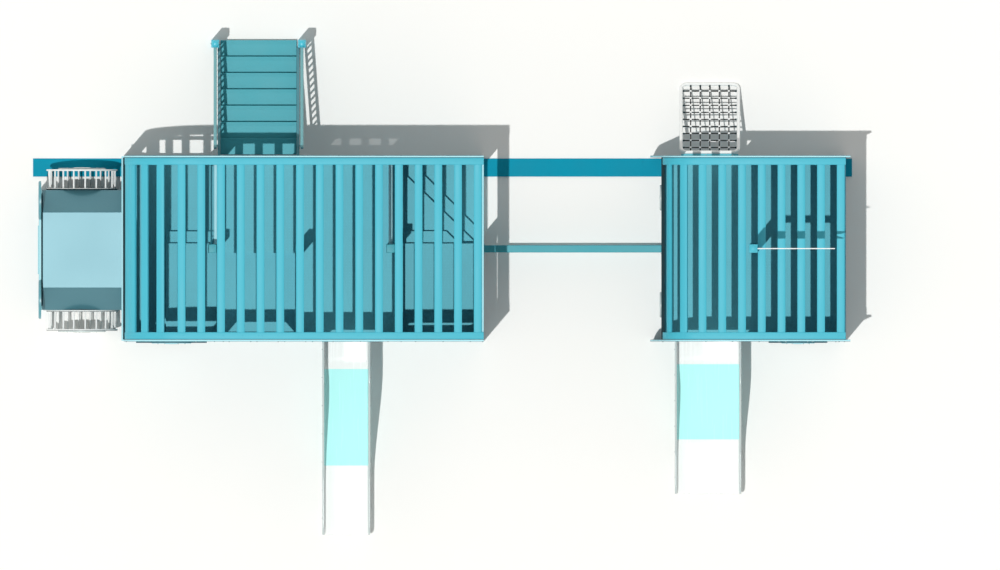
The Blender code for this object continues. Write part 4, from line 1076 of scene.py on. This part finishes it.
def slide_side(name, side, slide, way):
    """A side with a fully rounded top edge and an eased lower edge."""
    tops = side_line(slide)
    skirt = [(y, z - 0.06) for y, z in bed_line(slide)]
    half = SIDE_HALF
    x = slide["x"] + way * (slide["half"] + GAP + half)
    marks = sorted({point[0] for point in tops + skirt}, reverse=True)
    rings = []
    for y in marks:
        low = height_on(skirt, y)
        high = max(height_on(tops, y), low + 0.04)
        edge = [(0.011, low), (half, low + 0.005), (half, high - 0.013), (0.013, high - 0.006),
                (0.008, high - 0.0015)]
        rings.append([*((x - out, y, z) for out, z in edge), (x, y, high),
                      *((x + out, y, z) for out, z in reversed(edge))])
    maker = Maker()
    maker.loft(rings)
    for y in spread_between(WALL_FRONT - 0.12, slide["end"] + 0.25, sizes().nut_pitch):
        maker.nut((x + way * half, y, height_on(skirt, y) + 0.045), (way, 0, 0), 1, 0.011)
    maker.piece(f"{name}_{side}_rim", ["rim", "nut"], [f"{name}_side_{side}"], smooth=40)


def slide_foot(name):
    """A bent tube foot with flanges and a cross tube."""
    low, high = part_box(f"{name}_foot")
    y = (low.y + high.y) / 2
    radius = 0.03
    bolts = 0.052
    x0, x1 = low.x + radius, high.x - radius
    cross = high.z - radius
    maker = Maker()
    bend = eased_path([(x0, y, 0), (x0, y, cross), (x1, y, cross), (x1, y, 0)], 0.10, 8)
    maker.pipe(bend, radius, 0, sides=24)
    for x in (x0, x1):
        maker.spin([(0, 0), (0.07, 0), (0.07, 0.005), (0.066, 0.008), (radius, 0.009), (radius, 0.03)],
                   Matrix.Translation((x, y, 0)), 0, sides=32)
        for i in range(4):
            angle = math.tau * (i + 0.5) / 4
            maker.nut((x + bolts * math.cos(angle), y + bolts * math.sin(angle), 0.008), UP, 1, 0.008)
    maker.piece(f"{name}_foot_frame", ["steel", "nut"], [f"{name}_foot"], smooth=40)


def build_slides():
    """Beds, sides and feet of both slides, and the guard bar."""
    for name, slide in SLIDES.items():
        slide_bed(name, slide)
        slide_side(name, "left", slide, -1)
        slide_side(name, "right", slide, 1)
        slide_foot(name)
    low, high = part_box("slide_1_guard_bar")
    y = (low.y + high.y) / 2
    z = (low.z + high.z) / 2
    bar = 0.019
    maker = Maker()
    maker.pipe([(low.x, y, z), (high.x, y, z)], bar, 0, sides=24)
    for x, way in ((low.x, 1), (high.x, -1)):
        maker.spin([(0, 0), (0.028, 0), (0.028, 0.006), (bar, 0.008)], facing((x, y, z), (way, 0, 0)), 0,
                   sides=24)
    maker.piece("slide_1_grab_bar", ["steel"], ["slide_1_guard_bar"])


# Net
def build_net():
    """Tube frame, round ropes with end sleeves, and a connector on each crossing."""
    up = (NET_HEAD - NET_FOOT).normalized()
    across = Vector((1, 0, 0))
    high = (NET_HEAD - NET_FOOT).length

    def spot(side, rise):
        """A point in the frame's plane."""
        return NET_FOOT + across * side + up * rise

    maker = Maker()
    ring = rounded_box(-NET_HALF, NET_HALF, 0.0, high, 0.09, 10)
    maker.pipe([spot(*point) for point in ring], NET_TUBE, 0, sides=28, loop=True)
    maker.piece("net_tube", ["white"], ["net_frame"], smooth=40)
    pitch = 2 * NET_HALF / (ROPES_UP + 1)
    rung = high / (ROPES_ACROSS + 0.65)
    columns = [-NET_HALF + pitch * (i + 1) for i in range(ROPES_UP)]
    rows = [rung * (i + 1) for i in range(ROPES_ACROSS)]
    ends = [(spot(side, 0.0), spot(side, high)) for side in columns]
    ends += [(spot(-NET_HALF, rise), spot(NET_HALF, rise)) for rise in rows]
    inside = NET_TUBE + 0.001
    ropes = Maker()
    for start, stop in ends:
        way = (stop - start).normalized()
        ropes.pipe([start + way * inside, stop - way * inside], sizes().rope, 0, sides=14)
        for end, turn in ((start, way), (stop, -way)):
            ropes.spin([(0, inside), (0.0125, inside), (0.013, inside + 0.003), (0.0125, inside + 0.025),
                        (0.009, inside + 0.028)], facing(end, turn), 1, sides=16)
    ropes.piece("net_ropes", ["rope", "seal"], ["rope_net"])
    crosses = Maker()
    half = sizes().rope_cross
    narrow = half * 0.62
    turn = Matrix((across, up, across.cross(up))).transposed().to_4x4()
    for side in columns:
        for rise in rows:
            place = Matrix.Translation(spot(side, rise)) @ turn
            for x, y, z in ((half, narrow, 0.011), (narrow, half, 0.0115)):
                crosses.block((-x, -y, -z), (x, y, z), 0, 0.005, 2, place)
    crosses.piece("net_crosses", ["nylon"])


# Mast
def build_mast():
    """Mast with its cap and foot, and the flag with its clamps."""
    low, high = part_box("mast")
    cap = 0.03
    shoulder = high.z - cap
    middle = Matrix.Translation(((low.x + high.x) / 2, (low.y + high.y) / 2, shoulder))
    maker = Maker()
    maker.block(low, (high.x, high.y, shoulder), edge=0.010, steps=3)
    maker.block((-0.063, -0.063, -0.002), (0.063, 0.063, 0.012), 0, 0.004, 2, middle)
    maker.spin([(0.058, 0.010), (0.045, 0.022), (0.025, 0.028), (0, cap)], middle, 0, sides=32)
    maker.foot_plate(low, high)
    maker.piece("mast_tube", ["slat", "nut"], ["mast"])
    eased_copy("flag_sheet", "flag", "white", 0.003)
    low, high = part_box("flag")
    y = (low.y + high.y) / 2
    near, far = 0.0075, 0.014
    maker = Maker()
    for z in (low.z + 0.12, (low.z + high.z) / 2, high.z - 0.12):
        for y0, y1 in ((y - far, y - near), (y + near, y + far)):
            maker.block((low.x - 0.001, y0, z - 0.03), (low.x + 0.09, y1, z + 0.03), 0, 0.002)
        for x in (low.x + 0.03, low.x + 0.065):
            for way in (-1, 1):
                maker.nut((x, y + way * far, z), (0, way, 0), 1, 0.009)
    maker.piece("flag_clamps", ["slat", "nut"])


# Beam and base
def build_beam_base():
    """Balance beam with end brackets, and the base board with its fixings."""
    eased_copy("beam_bar", "balance_beam", "steel", 0.012)
    low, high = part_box("balance_beam")
    out = 0.03
    maker = Maker()
    for x, way in ((low.x, 1), (high.x, -1)):
        inner = x + way * 0.008
        x0, x1 = sorted((x, inner))
        maker.block((x0, low.y - out, low.z - out), (x1, high.y + out, high.z + out), 0, 0.003)
        for y in (low.y - 0.014, high.y + 0.014):
            for z in (low.z, high.z):
                maker.nut((inner, y, z), (way, 0, 0), 1, 0.009)
    maker.piece("beam_brackets", ["steel", "nut"])
    eased_copy("base_plank", "base_board", "base", 0.004)
    low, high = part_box("base_board")
    maker = Maker()
    for x in (-6.02, -5.2, 0.9, 1.6, 2.3, 3.0, 6.09):
        for y in (low.y + 0.05, high.y - 0.05):
            maker.nut((x, y, high.z), UP, 0, 0.010)
    maker.piece("base_nuts", ["base"])


# Stage
def build_stage():
    """Floor, sky, sun and camera."""
    scene = bpy.context.scene
    bpy.ops.mesh.primitive_plane_add(size=160.0, location=(0.0, 0.0, 0.0))
    floor = bpy.context.object
    floor.name = "floor"
    material, tree, place = surface("matt_white_floor", linear("#F4F4F2"), Roughness=0.9)
    cloud = add(tree, "ShaderNodeTexNoise", {"Vector": place, "Scale": 0.2})
    tone = add(tree, "ShaderNodeMix", {0: cloud.outputs["Fac"], 6: linear("#F3F3F1"), 7: linear("#F6F6F4")},
               data_type="RGBA")
    feed(tree, Base_Color=tone.outputs[2])
    floor.data.materials.append(material)

    world = bpy.data.worlds.new("studio")
    world.use_nodes = True
    tree = world.node_tree
    direction = add(tree, "ShaderNodeTexCoord", {}).outputs["Generated"]
    height = add(tree, "ShaderNodeSeparateXYZ", {"Vector": direction}).outputs["Z"]
    glow = add(tree, "ShaderNodeMapRange", {"Value": height, "From Min": 0.0, "From Max": 1.0, "To Min": 1.02,
                                            "To Max": 0.2})
    fill(tree, tree.nodes["Background"],
         {"Color": (1.0, 0.98, 0.955, 1.0), "Strength": glow.outputs["Result"]})
    scene.world = world

    sun = bpy.data.lights.new("sun", "SUN")
    sun.energy = 2.25
    sun.angle = math.radians(0.45)
    sun.color = (1.0, 0.99, 0.97)
    lamp = bpy.data.objects.new("sun", sun)
    lamp.rotation_euler = Vector((0.113, 0.1335, -1.0)).to_track_quat("-Z", "Y").to_euler()
    scene.collection.objects.link(lamp)

    camera = bpy.data.cameras.new("camera")
    camera.type = "ORTHO"
    camera.ortho_scale = sizes().frame_wide
    camera.clip_end = 200.0
    eye = bpy.data.objects.new("camera", camera)
    eye.location = (0.8625, 0.0375, 60.0)
    scene.collection.objects.link(eye)
    scene.camera = eye
    scene.view_settings.view_transform = "Standard"


# Operators
class SLIDEUNIT_OT_walls(bpy.types.Operator):
    """Dress the panels of both towers"""
    bl_idname = "slideunit.walls"
    bl_label = "Walls"

    def execute(self, context):
        build_walls()
        return {"FINISHED"}


class SLIDEUNIT_OT_roofs(bpy.types.Operator):
    """Build the slatted roofs"""
    bl_idname = "slideunit.roofs"
    bl_label = "Roofs"

    def execute(self, context):
        build_roofs()
        return {"FINISHED"}


class SLIDEUNIT_OT_decks(bpy.types.Operator):
    """Dress decks, inside steps, posts and guards"""
    bl_idname = "slideunit.decks"
    bl_label = "Decks"

    def execute(self, context):
        build_decks()
        return {"FINISHED"}


class SLIDEUNIT_OT_hood(bpy.types.Operator):
    """Build the hood, its lamps and its wheels"""
    bl_idname = "slideunit.hood"
    bl_label = "Hood"

    def execute(self, context):
        build_hood()
        return {"FINISHED"}


class SLIDEUNIT_OT_stair(bpy.types.Operator):
    """Build the stair and its balustrades"""
    bl_idname = "slideunit.stair"
    bl_label = "Stair"

    def execute(self, context):
        build_stair()
        return {"FINISHED"}


class SLIDEUNIT_OT_slides(bpy.types.Operator):
    """Build both slides"""
    bl_idname = "slideunit.slides"
    bl_label = "Slides"

    def execute(self, context):
        build_slides()
        return {"FINISHED"}


class SLIDEUNIT_OT_net(bpy.types.Operator):
    """Build the net climber"""
    bl_idname = "slideunit.net"
    bl_label = "Net"

    def execute(self, context):
        build_net()
        return {"FINISHED"}


class SLIDEUNIT_OT_mast(bpy.types.Operator):
    """Build the mast and its flag"""
    bl_idname = "slideunit.mast"
    bl_label = "Mast"

    def execute(self, context):
        build_mast()
        return {"FINISHED"}


class SLIDEUNIT_OT_beam_base(bpy.types.Operator):
    """Build the balance beam and the base board"""
    bl_idname = "slideunit.beam_base"
    bl_label = "Beam and base"

    def execute(self, context):
        build_beam_base()
        return {"FINISHED"}


class SLIDEUNIT_OT_stage(bpy.types.Operator):
    """Set the floor, the light and the camera"""
    bl_idname = "slideunit.stage"
    bl_label = "Stage"

    def execute(self, context):
        build_stage()
        return {"FINISHED"}


OPERATORS = (SLIDEUNIT_OT_stage, SLIDEUNIT_OT_walls, SLIDEUNIT_OT_roofs, SLIDEUNIT_OT_decks,
             SLIDEUNIT_OT_hood, SLIDEUNIT_OT_stair, SLIDEUNIT_OT_slides, SLIDEUNIT_OT_net,
             SLIDEUNIT_OT_mast, SLIDEUNIT_OT_beam_base)


class SLIDEUNIT_PT_panel(bpy.types.Panel):
    """Lists the settings and the steps"""
    bl_idname = "SLIDEUNIT_PT_panel"
    bl_label = "Playground Slide Unit"
    bl_space_type = "VIEW_3D"
    bl_region_type = "UI"
    bl_category = "Slide Unit"

    def draw(self, context):
        for group in (sizes(), colours()):
            box = self.layout.box()
            for key in group.__annotations__:
                box.prop(group, key)
        for operator in OPERATORS:
            self.layout.operator(operator.bl_idname)


CLASSES = (SlideUnitSizes, SlideUnitColours, *OPERATORS, SLIDEUNIT_PT_panel)


def register():
    """Register the classes and hang the settings on the scene."""
    for item in CLASSES:
        bpy.utils.register_class(item)
    bpy.types.Scene.slide_unit_sizes = bpy.props.PointerProperty(type=SlideUnitSizes)
    bpy.types.Scene.slide_unit_colours = bpy.props.PointerProperty(type=SlideUnitColours)


def unregister():
    """Take the settings and the classes away again."""
    del bpy.types.Scene.slide_unit_colours
    del bpy.types.Scene.slide_unit_sizes
    for item in reversed(CLASSES):
        bpy.utils.unregister_class(item)


def main():
    """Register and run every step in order."""
    register()
    bpy.ops.slideunit.stage()
    bpy.ops.slideunit.walls()
    bpy.ops.slideunit.roofs()
    bpy.ops.slideunit.decks()
    bpy.ops.slideunit.hood()
    bpy.ops.slideunit.stair()
    bpy.ops.slideunit.slides()
    bpy.ops.slideunit.net()
    bpy.ops.slideunit.mast()
    bpy.ops.slideunit.beam_base()


if __name__ == "__main__":
    main()
